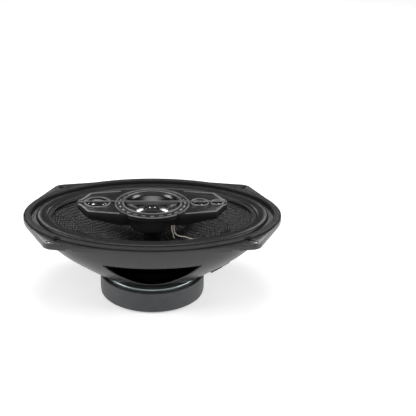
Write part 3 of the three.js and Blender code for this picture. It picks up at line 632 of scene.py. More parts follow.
def reach(outline, directions):
    """The distance from the centre to the outline along each direction."""
    ring = np.array(outline)
    angles = np.arctan2(ring[:, 1], ring[:, 0])
    order = np.argsort(angles)
    angles, ring = angles[order], ring[order]
    angles = np.concatenate([angles[-1:] - 2 * math.pi, angles, angles[:1] + 2 * math.pi])
    ring = np.concatenate([ring[-1:], ring, ring[:1]])
    result = []
    for direction in directions:
        i = int(np.searchsorted(angles, direction)) or 1
        (ax, ay), (bx, by) = ring[i - 1], ring[min(i, len(ring) - 1)]
        ux, uy = math.cos(direction), math.sin(direction)
        cross = (bx - ax) * uy - (by - ay) * ux
        share = (ay * ux - ax * uy) / cross if abs(cross) > 1e-12 else 0.0
        result.append((ax + share * (bx - ax)) * ux + (ay + share * (by - ay)) * uy)
    return np.array(result)


# %% The basket's section
steel = 1.3
seat_depth, lip_drop, rim_land = 2.9, 4.5, 1.1
top, seat, lip_bottom = basket_high.z, basket_high.z - seat_depth, basket_high.z - lip_drop
floor_low = basket_low.z
skirt_height = seat - steel - floor_low
skirt_top = (half_length - 12.5, half_width - 12.5)
base_length, base_width = 50, 38.5
coil_hole = 19.0


def skirt(share, wall=0.0):
    """The skirt's oval at a share of its height: half-length, half-width and height."""
    out = math.sin(math.pi / 2 * share)
    return (
        base_length + (skirt_top[0] - base_length) * out - wall,
        base_width + (skirt_top[1] - base_width) * out - wall,
        floor_low + skirt_height * share,
    )


def basket_section(angle, outer, inner):
    """The section at one turn, given how far the lip's outer and inner faces reach."""
    direction = np.array([math.cos(angle), math.sin(angle)])

    def at(a, b, z):
        return (a * direction[0], b * direction[1], z)

    rim = at(half_length - rim_land, half_width - rim_land, top)
    away = np.array(rim[:2])
    length = np.linalg.norm(away)
    unit = away / length
    under = min(length + steel, inner - 0.04)
    ear_height = seat - steel + min(0.8 * (inner - under), seat_depth)
    profile = [at(coil_hole, coil_hole, floor_low)]
    profile += [at(*skirt(s)) for s in np.linspace(0.0, 1.0, 22)]
    profile += [
        (*(unit * under), seat - steel),
        (*(unit * (under + 0.02)), ear_height),
        (*(unit * inner), ear_height),
        (*(unit * inner), lip_bottom),
        (*(unit * outer), lip_bottom),
        (*(unit * outer), top),
        rim,
        (*(unit * (length - 0.02)), seat),
        at(skirt_top[0] - steel, skirt_top[1] - steel, seat),
    ]
    inside = [at(*skirt(s, steel)) for s in np.linspace(0.97, 0.05, 20)]
    return profile + inside + [at(coil_hole, coil_hole, floor_low + steel)]


# %% Rounding by the same rule on every turn
def eased_always(section, radius, steps=3):
    """Rounds every corner, so that each turn keeps the same number of points."""
    points = [np.array(p, float) for p in section]
    result = []
    for i, corner in enumerate(points):
        into, out = points[i - 1] - corner, points[(i + 1) % len(points)] - corner
        long_in, long_out = np.linalg.norm(into) + 1e-9, np.linalg.norm(out) + 1e-9
        start = corner + into * min(radius / long_in, 0.45)
        end = corner + out * min(radius / long_out, 0.45)
        for step in range(steps + 1):
            t = step / steps
            result.append((1 - t) ** 2 * start + 2 * t * (1 - t) * corner + t * t * end)
    return result


turn_angles = [2 * math.pi * i / basket_turns for i in range(basket_turns)]
rim_directions = [
    math.atan2((half_width - rim_land) * math.sin(t), (half_length - rim_land) * math.cos(t))
    for t in turn_angles
]
outer_reach = reach(flange_outline(0.0), rim_directions)
inner_reach = reach(flange_outline(steel), rim_directions)
sections = [
    eased_always(basket_section(*each), 0.45, 2)
    for each in zip(turn_angles, outer_reach, inner_reach)
]
basket_points = np.concatenate([np.array(section) for section in sections])
basket = build("stamped_basket", (basket_points, round_faces(basket_turns, len(sections[0]))))
print("flange reaches", round(float(outer_reach.max()), 1), "mm from the centre")

# %% [markdown]
# Four windows let the air behind the cone out: a crescent in each long side and a small
# four-sided one in each end. Each is an outline driven straight through the skirt, with
# rounded corners as a punch leaves them. The screw slots and the small clip slots in the lip
# go the same way.

# %% Window outlines
def rounded_outline(outline, radius, steps=4):
    """An outline with its corners rounded."""
    flat = eased([(x, y, 0.0) for x, y in outline], radius, steps, least=12)
    return [(p[0], p[1]) for p in flat]


window_top = floor_low + 0.6 * skirt_height
window_low = floor_low + 2 * steel
crescent = [
    (45 * t, window_low + (window_top - window_low) * t * t) for t in np.linspace(-1, 1, 33)
]
crescent = rounded_outline(crescent, 2.5)
end_low, end_high = floor_low + 0.3 * skirt_height, window_top + 2
end_window = rounded_outline(
    [(-11, end_low), (11, end_low), (17, end_high), (-17, end_high)], 3.0
)
along_y = Matrix.Rotation(math.radians(90), 4, "X")
along_x = Matrix(((0, 0, 1, 0), (1, 0, 0, 0), (0, 1, 0, 0), (0, 0, 0, 1)))
punches = [
    moved(prism(crescent, -half_width, -30), along_y),
    moved(prism(crescent, 30, half_width), along_y),
    moved(prism(end_window, -half_length, -40), along_x),
    moved(prism(end_window, 40, half_length), along_x),
]

# %% Slots
slot_radius, slot_half, slot_turn = 2.3, 3, math.radians(41)
clip_x, clip_height = 71.5, 1.6


def slot_punch(sx, sy):
    """A round-ended slot that points out of its corner."""
    ends = circle(slot_radius, 24, (-slot_half, 0)) + circle(slot_radius, 24, (slot_half, 0))
    turn = math.atan2(sy * math.sin(slot_turn), sx * math.cos(slot_turn))
    place = Matrix.Translation((sx * (ear_x + 1.2), sy * (ear_y + 1), 0))
    slot = prism(hull(ends), lip_bottom - 4, top + 3)
    return moved(slot, place @ Matrix.Rotation(turn, 4, "Z"))


for sx, sy in corners:
    punches.append(slot_punch(sx, sy))
    clip = [(-3, -6), (3, -6), (3, 26), (-3, 26)]
    clip = [(sx * clip_x + x, sy * (half_width - 18) + sy * y) for x, y in clip]
    clip = clip if sy > 0 else clip[::-1]
    punches.append(prism(clip, lip_bottom - 1, lip_bottom + clip_height))
carve(basket, together(*punches))
claim(basket, "basket", sharp=40)

# %% [markdown]
# A punched window in a real basket has its edge rolled over, which stiffens the thin sheet
# and catches the light as a bright line. Here a Geometry Nodes tree runs a round bead along
# a loop of points laid on the skirt. The loops come from the same outlines as the punches.

# %% Bead tree
def bead_tree(look):
    """A round bead along the seed's edges."""
    tree, enter, leave = growing_tree(
        "window_bead", [("Radius", "NodeSocketFloat"), ("Sides", "NodeSocketInt")]
    )
    path = node(tree, "GeometryNodeMeshToCurve", {"Mesh": enter.outputs["Geometry"]})
    section = node(
        tree,
        "GeometryNodeCurvePrimitiveCircle",
        {"Radius": enter.outputs["Radius"], "Resolution": enter.outputs["Sides"]},
    )
    links = {"Curve": path.outputs[0], "Profile Curve": section.outputs[0], "Fill Caps": True}
    bead = node(tree, "GeometryNodeCurveToMesh", links)
    finish_tree(tree, leave, bead.outputs[0], look)
    return tree


def dense(outline, step=1.2):
    """The closed outline with points at most a step apart."""
    result = []
    for i, (ax, ay) in enumerate(outline):
        bx, by = outline[(i + 1) % len(outline)]
        parts = max(1, round(math.hypot(bx - ax, by - ay) / step))
        result += [(ax + (bx - ax) * k / parts, ay + (by - ay) * k / parts) for k in range(parts)]
    return result


# %% Beads round the windows
def on_skirt(u, z, side, lengthways):
    """The middle of the sheet at a height, where a window's outline meets it."""
    a, b, _ = skirt((z - floor_low) / skirt_height, steel / 2)
    if lengthways:
        return (side * a * math.sqrt(1 - (u / b) ** 2), u, z)
    return (u, side * b * math.sqrt(1 - (u / a) ** 2), z)


loop_points, loop_edges = [], []
for outline, lengthways in ((crescent, False), (end_window, True)):
    for side in (-1, 1):
        loop = [on_skirt(u, z, side, lengthways) for u, z in dense(outline)]
        first = len(loop_points)
        loop_points += loop
        loop_edges += [(first + i, first + (i + 1) % len(loop)) for i in range(len(loop))]
beads = grow(
    "window_beads",
    bead_tree(looks["basket_paint"]),
    {"Radius": 0.75 * MM, "Sides": 10},
    seed_points(loop_points, loop_edges),
)
beads.data.shade_smooth()
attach(beads, "frame")
print("bead runs over", len(loop_points), "points")

# %% [markdown]
# ## The gasket ring
# A moulded rubber ring holds the surround down and seals against a grille or panel. It is a
# plain section carried round, with soft edges and with bites out of its outer edge where the
# screws go through the flange.

# %% Gasket ring
gasket_low, gasket_high = span("gasket_ring")


def inset_point(inset, z):
    """A section point at a distance in from the flange's oval."""
    return (half_length - inset, half_width - inset, z)


gasket_outer, gasket_inner = 1.5, 6.9
gasket_section = [
    inset_point(gasket_inner, gasket_low.z),
    inset_point(gasket_outer, gasket_low.z),
    inset_point(gasket_outer, gasket_high.z),
    inset_point(gasket_inner, gasket_high.z),
]
gasket = build("gasket", oval_turned(eased(gasket_section, 0.6, 4), 240))
notch_turn = math.atan2(ear_y / (half_width - gasket_outer), ear_x / (half_length - gasket_outer))
notch = ((half_length - 0.3) * math.cos(notch_turn), (half_width - 0.3) * math.sin(notch_turn))
bites = [
    prism(circle(4, 40, (sx * notch[0], sy * notch[1])), gasket_low.z - 1, gasket_high.z + 1)
    for sx, sy in corners
]
carve(gasket, together(*bites))
claim(gasket, "gasket_ring")

# %% [markdown]
# ## The surround
# The roll is the spring and the seal at the cone's edge: a low arch of butyl rubber between
# two flat landings, steep on the outside and long on the inside. It bends as the cone moves,
# so it is attached to no body.

# %% Surround
rubber = 0.8
landing_outer, roll_from, roll_to, landing_inner = 2.5, 11.8, 22.8, 26.5
surround_low, surround_high = span("surround")
landing_low, landing_top = surround_low.z, surround_low.z + rubber
rise = surround_high.z - landing_top


def roll(start, end, base, steps=26):
    """The roll from its outer to its inner foot, with its crest towards the outside."""
    arc = np.linspace(0, math.pi, steps)
    return [
        inset_point(
            start + (end - start) * (0.5 - 0.5 * math.cos(t)) ** 1.6, base + rise * math.sin(t)
        )
        for t in arc
    ]


above = roll(roll_from, roll_to, landing_top)
below = roll(roll_from + rubber / 2, roll_to - rubber / 2, landing_low)
surround_section = [
    inset_point(landing_outer, landing_low),
    inset_point(landing_outer, landing_top),
    *above,
    inset_point(landing_inner - rubber / 2, landing_top),
    inset_point(landing_inner, landing_low),
    *below[::-1],
]
surround_section = eased(surround_section, 1.4, 4, least=14)
surround_turns = 240
surround = build("rubber_roll", oval_turned(surround_section, surround_turns), weld=False)
claim(surround, "surround", rides=False)


def set_blend(piece):
    """Bakes the piece's placement into its mesh; no blend weights are set."""
    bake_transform(piece)


set_blend(surround)

# %% [markdown]
# ## The cone
# The woofer's cone is a light woven shell, oval at the rim and round at the neck. The section
# is a list of ovals that shrink towards the neck and sink along a gentle curve, doubled for
# the back of the wall.

# %% Cone
cone_low, cone_high = span("woofer_cone")
former_low, former_high = span("voice_coil_former")
neck = former_high.x + 0.3
neck_height = cone_low.z + 1.25
cone_edge = (cone_high.x, cone_high.y)


def on_cone(share, lift=0.0):
    """The cone's oval at a share of the way out: half-length, half-width and height."""
    return (
        neck + (cone_edge[0] - neck) * share,
        neck + (cone_edge[1] - neck) * share,
        neck_height + (cone_high.z - neck_height) * share**1.08 + lift,
    )


shares = np.linspace(0, 1, 28)
cone_section = [on_cone(s, -1.2) for s in shares] + [on_cone(s) for s in shares[::-1]]
cone = build("woven_cone", oval_turned(eased(cone_section, 0.4, 2), 240))
claim(cone, "woofer_cone")

# %% [markdown]
# The cloth's crossings stand up as small beads of resin that glint. Modelling them keeps the
# glints where the light really finds them. The tree lays a slanting grid over the oval, drops
# each point onto the cone with a ray, throws away what misses, and sets a flattened bead of
# a few faces on each hit, turned to the surface.

# %% Knot tree
def knot_tree(look):
    """Beads on a grid that is dropped onto a target surface."""
    tree, enter, leave = growing_tree(
        "weave_knots",
        [
            ("Surface", "NodeSocketObject"),
            ("Columns", "NodeSocketInt"),
            ("Rows", "NodeSocketInt"),
            ("Pitch", "NodeSocketFloat"),
            ("Bead radius", "NodeSocketFloat"),
            ("Seed", "NodeSocketInt"),
        ],
    )
    sizes = enter.outputs
    long_side = maths(tree, "MULTIPLY", sizes["Columns"], sizes["Pitch"])
    short_side = maths(tree, "MULTIPLY", sizes["Rows"], sizes["Pitch"])
    grid = node(
        tree,
        "GeometryNodeMeshGrid",
        {
            "Size X": long_side,
            "Size Y": short_side,
            "Vertices X": sizes["Columns"],
            "Vertices Y": sizes["Rows"],
        },
    )
    target = node(tree, "GeometryNodeObjectInfo", {"Object": sizes["Surface"]})
    start = node(
        tree,
        "GeometryNodeTransform",
        {
            "Geometry": grid.outputs["Mesh"],
            "Translation": (0, 0, 0.2),
            "Rotation": (0, 0, math.radians(45)),
        },
    )
    ray = node(
        tree,
        "GeometryNodeRaycast",
        {"Target Geometry": target.outputs["Geometry"], "Ray Direction": (0, 0, -1)},
    )
    ray.inputs["Ray Length"].default_value = 1.0
    missed = node(tree, "FunctionNodeBooleanMath", {0: ray.outputs["Is Hit"]}, operation="NOT")
    kept = node(
        tree,
        "GeometryNodeDeleteGeometry",
        {"Geometry": start.outputs[0], "Selection": missed.outputs[0]},
    )
    facing = node(
        tree,
        "GeometryNodeStoreNamedAttribute",
        {
            "Geometry": kept.outputs[0],
            "Name": "facing",
            "Value": ray.outputs["Hit Normal"],
        },
        data_type="FLOAT_VECTOR",
        domain="POINT",
    )
    landed = node(
        tree,
        "GeometryNodeSetPosition",
        {"Geometry": facing.outputs[0], "Position": ray.outputs["Hit Position"]},
    )
    way = node(
        tree, "GeometryNodeInputNamedAttribute", {"Name": "facing"}, data_type="FLOAT_VECTOR"
    )
    turn = node(
        tree, "FunctionNodeAlignRotationToVector", {"Vector": way.outputs["Attribute"]}, axis="Z"
    )
    bead = node(
        tree,
        "GeometryNodeMeshUVSphere",
        {"Segments": 8, "Rings": 5, "Radius": sizes["Bead radius"]},
    )
    flatter = node(
        tree,
        "GeometryNodeTransform",
        {"Geometry": bead.outputs["Mesh"], "Scale": (1.0, 1.0, 0.5)},
    )
    vary = node(
        tree,
        "FunctionNodeRandomValue",
        {"Seed": sizes["Seed"], 2: 0.8, 3: 1.1},
        data_type="FLOAT",
    )
    beads = node(
        tree,
        "GeometryNodeInstanceOnPoints",
        {
            "Points": landed.outputs[0],
            "Instance": flatter.outputs[0],
            "Rotation": turn.outputs[0],
            "Scale": vary.outputs[1],
        },
    )
    finish_tree(tree, leave, beads.outputs[0], look)
    return tree


# %% Knots on the cone
# The knots' paler finish is painted light against the bowl's shade.
knots = grow(
    "weave_knots",
    knot_tree(looks["knot_thread_painted_light"]),
    {
        "Surface": cone,
        "Columns": 52,
        "Rows": 52,
        "Pitch": weave_pitch * MM,
        "Bead radius": 0.95 * MM,
        "Seed": 4,
    },
)
knots.data.attributes.remove(knots.data.attributes["facing"])


def trim_knots(piece, inset):
    """Drops the beads that would sit under the roll's inner landing."""
    work = bmesh.new()
    work.from_mesh(piece.data)
    a, b = (half_length - inset) * MM, (half_width - inset) * MM
    out = [v for v in work.verts if (v.co.x / a) ** 2 + (v.co.y / b) ** 2 > 1]
    islands = {v for start in out for v in island_of(start)}
    bmesh.ops.delete(work, geom=list(islands), context="VERTS")
    work.to_mesh(piece.data)
    work.free()


def island_of(start):
    """All the points joined to one point by edges."""
    seen, edge = {start}, [start]
    while edge:
        for link in edge.pop().link_edges:
            for v in link.verts:
                if v not in seen:
                    seen.add(v)
                    edge.append(v)
    return seen


trim_knots(knots, landing_inner + 2)
knots.data.shade_smooth()
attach(knots, "cone")
print("knots:", len(knots.data.polygons) // 40, "beads")

# %% [markdown]
# A strip of black cement covers the coil's leads where they run up the cone. It is a low
# ridge that follows one line of the cone: a half-round section laid at each step of the way.

# %% Lead cover
cover_turn = math.radians(42.5)


def cone_spot(share, turn, lift=0.0):
    """A point on the cone at a share of the way out and an oval angle."""
    a, b, z = on_cone(share, lift)
    return Vector((a * math.cos(turn), b * math.sin(turn), z))


def ridge(shares, turn, half, height):
    """A closed ridge with a half-round section along one line of the cone."""
    rows = []
    for i, share in enumerate(shares):
        middle = cone_spot(share, turn)
        side = (cone_spot(share, turn + 0.01) - cone_spot(share, turn - 0.01)).normalized()
        end = math.sin(math.pi * min(1.0, 6 * min(i, len(shares) - 1 - i) / len(shares)) / 2)
        width = half * (0.35 + 0.65 * end)
        foot = middle + Vector((0, 0, 0.1))
        low = [foot - side * width, foot + side * width]
        arch = [
            middle + side * width * math.cos(t) + Vector((0, 0, 0.3 + height * end * math.sin(t)))
            for t in np.linspace(0, math.pi, 9)
        ]
        rows.append([low[0], low[1], *arch])
    count = len(rows[0])
    points = [p for row in rows for p in row]
    faces = []
    for i in range(len(rows) - 1):
        for j in range(count):
            k = (j + 1) % count
            faces.append((i * count + j, i * count + k, (i + 1) * count + k, (i + 1) * count + j))
    faces.append(tuple(range(count - 1, -1, -1)))
    faces.append(tuple((len(rows) - 1) * count + j for j in range(count)))
    return np.array(points), faces


def outward(piece):
    """Turns a closed piece's faces outwards if they point in."""
    if volume_of(piece) < 0:
        piece.data.flip_normals()


cover = build("cement_strip", ridge(np.linspace(0.1, 0.48, 30), cover_turn, 1.5, 0.9))
outward(cover)
claim(cover, "lead_cover", sharp=50)

# %% [markdown]
# ## The moving coil and its spring
# Behind the cone a paper tube carries the coil into the magnet's gap, and a corrugated disc
# of dipped cloth, the spider, keeps it centred. The folds are a cosine along the radius, and
# the winding is a stack of round turns, so its outside is scalloped.

# %% Spider
spider_low, spider_high = span("spider")
spider_in, spider_out = former_high.x + 0.3, spider_high.x
cloth = 0.8


def fold_height(r):
    """How high the cloth stands at a radius."""
    share = (r - spider_in - 2.5) / (spider_out - 3.5 - spider_in - 2.5)
    if not 0 < share < 1:
        return 0.0
    return (spider_high.z - spider_low.z - cloth) * (0.5 - 0.5 * math.cos(12 * math.pi * share))


radii = np.linspace(spider_in, spider_out, 90)
lower = [(r, spider_low.z + fold_height(r)) for r in radii]
upper = [(r, z + cloth) for r, z in lower[::-1]]
spider_turns = 120
spider = build("cloth_spider", turned(lower + upper, spider_turns), weld=False)
claim(spider, "spider", rides=False)
set_blend(spider)

# %% Former, winding and dust ring
former_section = [
    (former_high.x - 0.4, former_low.z),
    (former_high.x, former_low.z),
    (former_high.x, former_high.z),
    (former_high.x - 0.4, former_high.z),
]
claim(build("coil_former", turned(former_section)), "voice_coil_former")
wind_low, wind_high = span("voice_coil_winding")
wire_turns = 20
step = (wind_high.z - wind_low.z) / wire_turns
bumps = []
for i in range(wire_turns):
    for t in np.linspace(-math.pi / 2, math.pi / 2, 5):
        z = wind_low.z + (i + 0.5) * step + step / 2 * 0.98 * math.sin(t)
        bumps.append((wind_high.x - 0.2 + 0.2 * math.cos(t), z))
winding_section = [(wind_high.x - 0.8, wind_low.z), *bumps, (wind_high.x - 0.8, wind_high.z)]
claim(build("coil_winding", turned(winding_section)), "voice_coil_winding")
felt_low, felt_high = span("dust_ring")
felt_section = [(10, felt_low.z), (15.7, felt_low.z), (15.7, felt_high.z), (10, felt_high.z)]
felt = build("felt_dust_ring", turned([(p[0], p[1]) for p in eased(felt_section, 0.5)]))
claim(felt, "dust_ring")

# %% [markdown]
# ## The motor
# The motor is a stack: a steel yoke with its pole, a ferrite ring and a top plate, with a
# rubber boot pulled over it from behind. The yoke, ring and plate are turned or pressed
# parts, so each is one eased section carried round.

# %% Boot, yoke, magnet and top plate
def ring_of(name, solid, section, radius=0.4, turns=144, steps=3):
    """A round piece from an eased [radius, height] section."""
    smooth = [(p[0], p[1]) for p in eased(section, radius, steps)]
    return claim(build(name, turned(smooth, turns)), solid)


_, boot_high = span("magnet_boot")
boot = boot_high.x
boot_section = [
    (13, 0.3),
    (30, 0.3),
    (31, 0),
    (boot - 3.2, 0),
    (boot - 0.4, 1.6),
    (boot, 5),
    (boot, boot_high.z),
    (boot - 2.5, boot_high.z),
    (boot - 2.5, 2),
    (13, 2),
]
ring_of("rubber_boot", "magnet_boot", boot_section, 0.9, 192, 4)
yoke_low, yoke_high = span("back_yoke")
plate_low, plate_high = span("top_plate")
pole = 15.4
yoke_section = [
    (3.2, yoke_low.z + 3.6),
    (6.6, yoke_low.z + 3.6),
    (6.6, yoke_low.z),
    (yoke_high.x, yoke_low.z),
    (yoke_high.x, yoke_low.z + 5),
    (pole, yoke_low.z + 5),
    (pole, yoke_high.z),
    (3.2, yoke_high.z),
]
ring_of("steel_yoke", "back_yoke", yoke_section, 0.5)
magnet_low, magnet_high = span("ferrite_magnet")
magnet_section = [
    (22, magnet_low.z),
    (magnet_high.x, magnet_low.z),
    (magnet_high.x, magnet_high.z),
    (22, magnet_high.z),
]
ring_of("ferrite_ring", "ferrite_magnet", magnet_section, 0.8)
plate_section = [
    (18.2, plate_low.z),
    (plate_high.x, plate_low.z),
    (plate_high.x, plate_high.z),
    (18.2, plate_high.z),
]
ring_of("steel_top_plate", "top_plate", plate_section, 0.7, 192, 4)
landing_ring_low, landing_ring_high = span("spider_ring")
reach_out = landing_ring_high.x
landing_section = [
    (reach_out - 3, landing_ring_low.z),
    (reach_out, landing_ring_low.z),
    (reach_out, landing_ring_high.z),
    (reach_out - 3, landing_ring_high.z),
]
# The landing is dull fibre, so it wears the spider's finish and doesn't shine in the windows;
# that finish's near-black colour is partly painted shade.
spider_landing = ring_of("spider_landing", "spider_ring", landing_section)
spider_landing.data.materials[0] = looks["spider_cloth"]

# %% [markdown]
# Four rivets clamp the basket's floor to the top plate. They are one rivet on four points:
# a domed head and a shank, joined and placed by the tree, so that moving a point moves its
# whole rivet.

# %% Rivets
def rivet_tree(look):
    """A domed rivet on every point of the seed."""
    tree, enter, leave = growing_tree(
        "floor_rivets",
        [
            ("Head radius", "NodeSocketFloat"),
            ("Head height", "NodeSocketFloat"),
            ("Shank radius", "NodeSocketFloat"),
            ("Shank length", "NodeSocketFloat"),
        ],
    )
    size = enter.outputs
    ball = node(
        tree,
        "GeometryNodeMeshUVSphere",
        {"Segments": 32, "Rings": 16, "Radius": size["Head radius"]},
    )
    squeeze = maths(tree, "DIVIDE", size["Head height"], size["Head radius"])
    flat = node(tree, "ShaderNodeCombineXYZ", {"X": 1.0, "Y": 1.0, "Z": squeeze})
    head = node(
        tree,
        "GeometryNodeTransform",
        {"Geometry": ball.outputs["Mesh"], "Scale": flat.outputs[0]},
    )
    rod = node(
        tree,
        "GeometryNodeMeshCylinder",
        {"Vertices": 24, "Radius": size["Shank radius"], "Depth": size["Shank length"]},
    )
    down = maths(tree, "MULTIPLY", size["Shank length"], -0.5)
    drop = node(tree, "ShaderNodeCombineXYZ", {"X": 0.0, "Y": 0.0, "Z": down})
    shank = node(
        tree,
        "GeometryNodeTransform",
        {"Geometry": rod.outputs["Mesh"], "Translation": drop.outputs[0]},
    )
    whole = tree.nodes.new("GeometryNodeJoinGeometry")
    tree.links.new(head.outputs[0], whole.inputs[0])
    tree.links.new(shank.outputs[0], whole.inputs[0])
    set_out = node(
        tree,
        "GeometryNodeInstanceOnPoints",
        {"Points": enter.outputs["Geometry"], "Instance": whole.outputs[0]},
    )
    finish_tree(tree, leave, set_out.outputs[0], look)
    return tree


rivet_nodes = [f"basket_rivet_{i}" for i in range(1, 5)]
rivet_low, rivet_high = span("basket_rivet_1")
head_height = rivet_high.z - floor_low - steel
places = []
for solid in rivet_nodes:
    low, high = span(solid)
    places.append(((low.x + high.x) / 2, (low.y + high.y) / 2, rivet_high.z - head_height))
rivets = grow(
    "floor_rivets",
    rivet_tree(looks["zinc_steel"]),
    {
        "Head radius": (rivet_high.x - rivet_low.x) / 2 * MM,
        "Head height": head_height * MM,
        "Shank radius": 1.8 * MM,
        "Shank length": (places[0][2] - rivet_low.z) * MM,
    },
    seed_points(places),
)
claim(rivets, *rivet_nodes)

# %% [markdown]
# ## The centre post
# A moulded post stands on the pole and carries the whole bridge. A hexagon screw holds it
# from behind, through the yoke, and a small screw holds the midrange cup on top.

# %% Post and screws
post_low, post_high = span("centre_post")
post_section = [
    (0, post_low.z),
    (post_high.x, post_low.z),
    (post_high.x, post_low.z + 3),
    (post_high.x - 0.8, post_low.z + 6),
    (post_high.x - 0.8, post_high.z - 4),
    (post_high.x, post_high.z - 1.5),
    (post_high.x, post_high.z),
    (0, post_high.z),
]
ring_of("centre_post_moulding", "centre_post", post_section, 0.5)
screw_low, screw_high = span("post_screw")
screw = build("hexagon_screw", prism(circle(5, 6), screw_low.z, screw_low.z + 2.9))
shank = [(0, screw_low.z + 2.6), (2.9, screw_low.z + 2.6), (2.9, screw_high.z), (0, screw_high.z)]
carve(screw, turned(shank, 32), "UNION")
bevel(screw, 0.35, 2)
claim(screw, "post_screw")
cup_screw_low, cup_screw_high = span("cup_screw")
small_head = cup_screw_high.z - 1.8
cup_screw_section = [
    (0, cup_screw_low.z),
    (1.9, cup_screw_low.z),
    (1.9, small_head),
    (3.6, small_head),
    (3.6, small_head + 1.0),
    (2.2, cup_screw_high.z),
    (0, cup_screw_high.z),
]
small_screw = build("small_screw", turned(cup_screw_section, 48))
cross = [(-2, -0.35), (2, -0.35), (2, 0.35), (-2, 0.35)]
turned_cross = [(-y, x) for x, y in cross]
carve(small_screw, prism(cross, small_head + 0.9, cup_screw_high.z + 1))
carve(small_screw, prism(turned_cross, small_head + 0.9, cup_screw_high.z + 1))
claim(small_screw, "cup_screw")

# %% [markdown]
# ## The bridge
# Two boat-shaped wings reach out from the ring in the middle, deep at the root and shallow at
# the tip. Each wing is one outline with a flat top and a sloping keel. The dial's seat, the
# midrange's hole, the drum under it and the three pods are cut out of the joined body.

# %% Wings
_, bridge_high = span("bridge_body")
wing_top, tip = bridge_high.z, bridge_high.x
shoulder, corner_x, corner_y, land_x, land_y = 27.0, 57.5, 21.3, 65.0, 7.0
root_depth, tip_depth = 10.9, 5.1
keel_slope = (root_depth - tip_depth) / (tip - shoulder)


def keel(x):
    """The height of the wing's underside."""
    return wing_top - root_depth + keel_slope * max(0.0, abs(x) - shoulder)


def wing(side):
    """One wing, out to +X or -X, with its underside in two flats."""
    root = [(20.5, 26.0), (shoulder, shoulder)]
    far = [(corner_x, corner_y), (land_x, land_y), (tip, land_y - 3)]
    half = root + far
    outline = [(x, -y) for x, y in half] + [(x, y) for x, y in half[::-1]]
    outline = [(side * x, y) for x, y in outline]
    count = len(outline)
    points = [(x, y, wing_top) for x, y in outline] + [(x, y, keel(x)) for x, y in outline]
    faces = [tuple(range(count))]
    for i in range(count):
        k = (i + 1) % count
        faces.append((i, i + count, k + count, k))
    under = [i + count for i in range(count)]
    faces.append(tuple([under[0], under[-1], under[-2], under[1]]))
    faces.append(tuple([under[1]] + under[count - 2 : 1 : -1]))
    if side < 0:
        faces = [face[::-1] for face in faces]
    return np.array(points), faces


# %% Bridge body
dial_low, dial_high = span("dial_ring")
disc_top = dial_low.z - 0.3
disc_radius, frame_hole, drum_hole, pod_wall = 34.4, 24.1, 23.3, 1.6
pods = {
    "left": {"x": -50.0, "radius": 12.2, "dome": 6.5},
    "right_inner": {"x": 43.4, "radius": 8.6, "dome": 4.4},
    "right_outer": {"x": 59.2, "radius": 6.4, "dome": 3.2},
}


def pod_floor(pod):
    """The floor of a pod's recess, just above the keel at the pod's far side."""
    return keel(abs(pod["x"]) + pod["radius"]) + 1.4


def cylinder(radius, low, high, turns=96, centre=(0, 0)):
    """A plain disc or hole punch."""
    return prism(circle(radius, turns, centre), low, high)


bridge = build("bridge_moulding", wing(1))
carve(bridge, wing(-1), "UNION")
carve(bridge, cylinder(disc_radius, disc_top - 2, disc_top), "UNION")
carve(bridge, cylinder(disc_radius, disc_top, wing_top + 5))
carve(bridge, cylinder(frame_hole, wing_top - 22, wing_top + 5))
carve(bridge, cylinder(drum_hole, wing_top - 30, disc_top - 3))
for pod in pods.values():
    recess = cylinder(pod["radius"] - pod_wall, pod_floor(pod), wing_top + 5, 64, (pod["x"], 0))
    carve(bridge, recess)
for side in (-1, 1):
    low, high = span("left_capacitor" if side < 0 else "right_capacitor")
    pocket = [(low.x - 0.3, low.y - 0.3), (high.x + 0.3, low.y - 0.3)]
    pocket += [(high.x + 0.3, high.y + 0.3), (low.x - 0.3, high.y + 0.3)]
    carve(bridge, prism(pocket, wing_top - 12, high.z + 0.3))
bevel(bridge, 0.45, 3, 38)
claim(bridge, "bridge_body")

# %% [markdown]
# ## The dial
# Between the two silver rings lies a sloping band with short silver marks at every fifteen
# degrees, as on a dial. One mark is a thin box that the tree bends to the band's radius and
# tips to its slope, and then turns round the centre as often as asked.

# %% Dial band
dial_in, dial_out = 25.9, dial_high.x
dial_step, dial_land = 1.2, 1.4
step_height = dial_high.z - dial_step
dial_section = [
    (dial_in, dial_low.z),
    (dial_out, dial_low.z),
    (dial_out, step_height),
    (dial_out - dial_land, step_height),
    (dial_in + dial_land, dial_high.z),
    (dial_in, dial_high.z),
]
ring_of("dial_band", "dial_ring", dial_section, 0.25, 192)


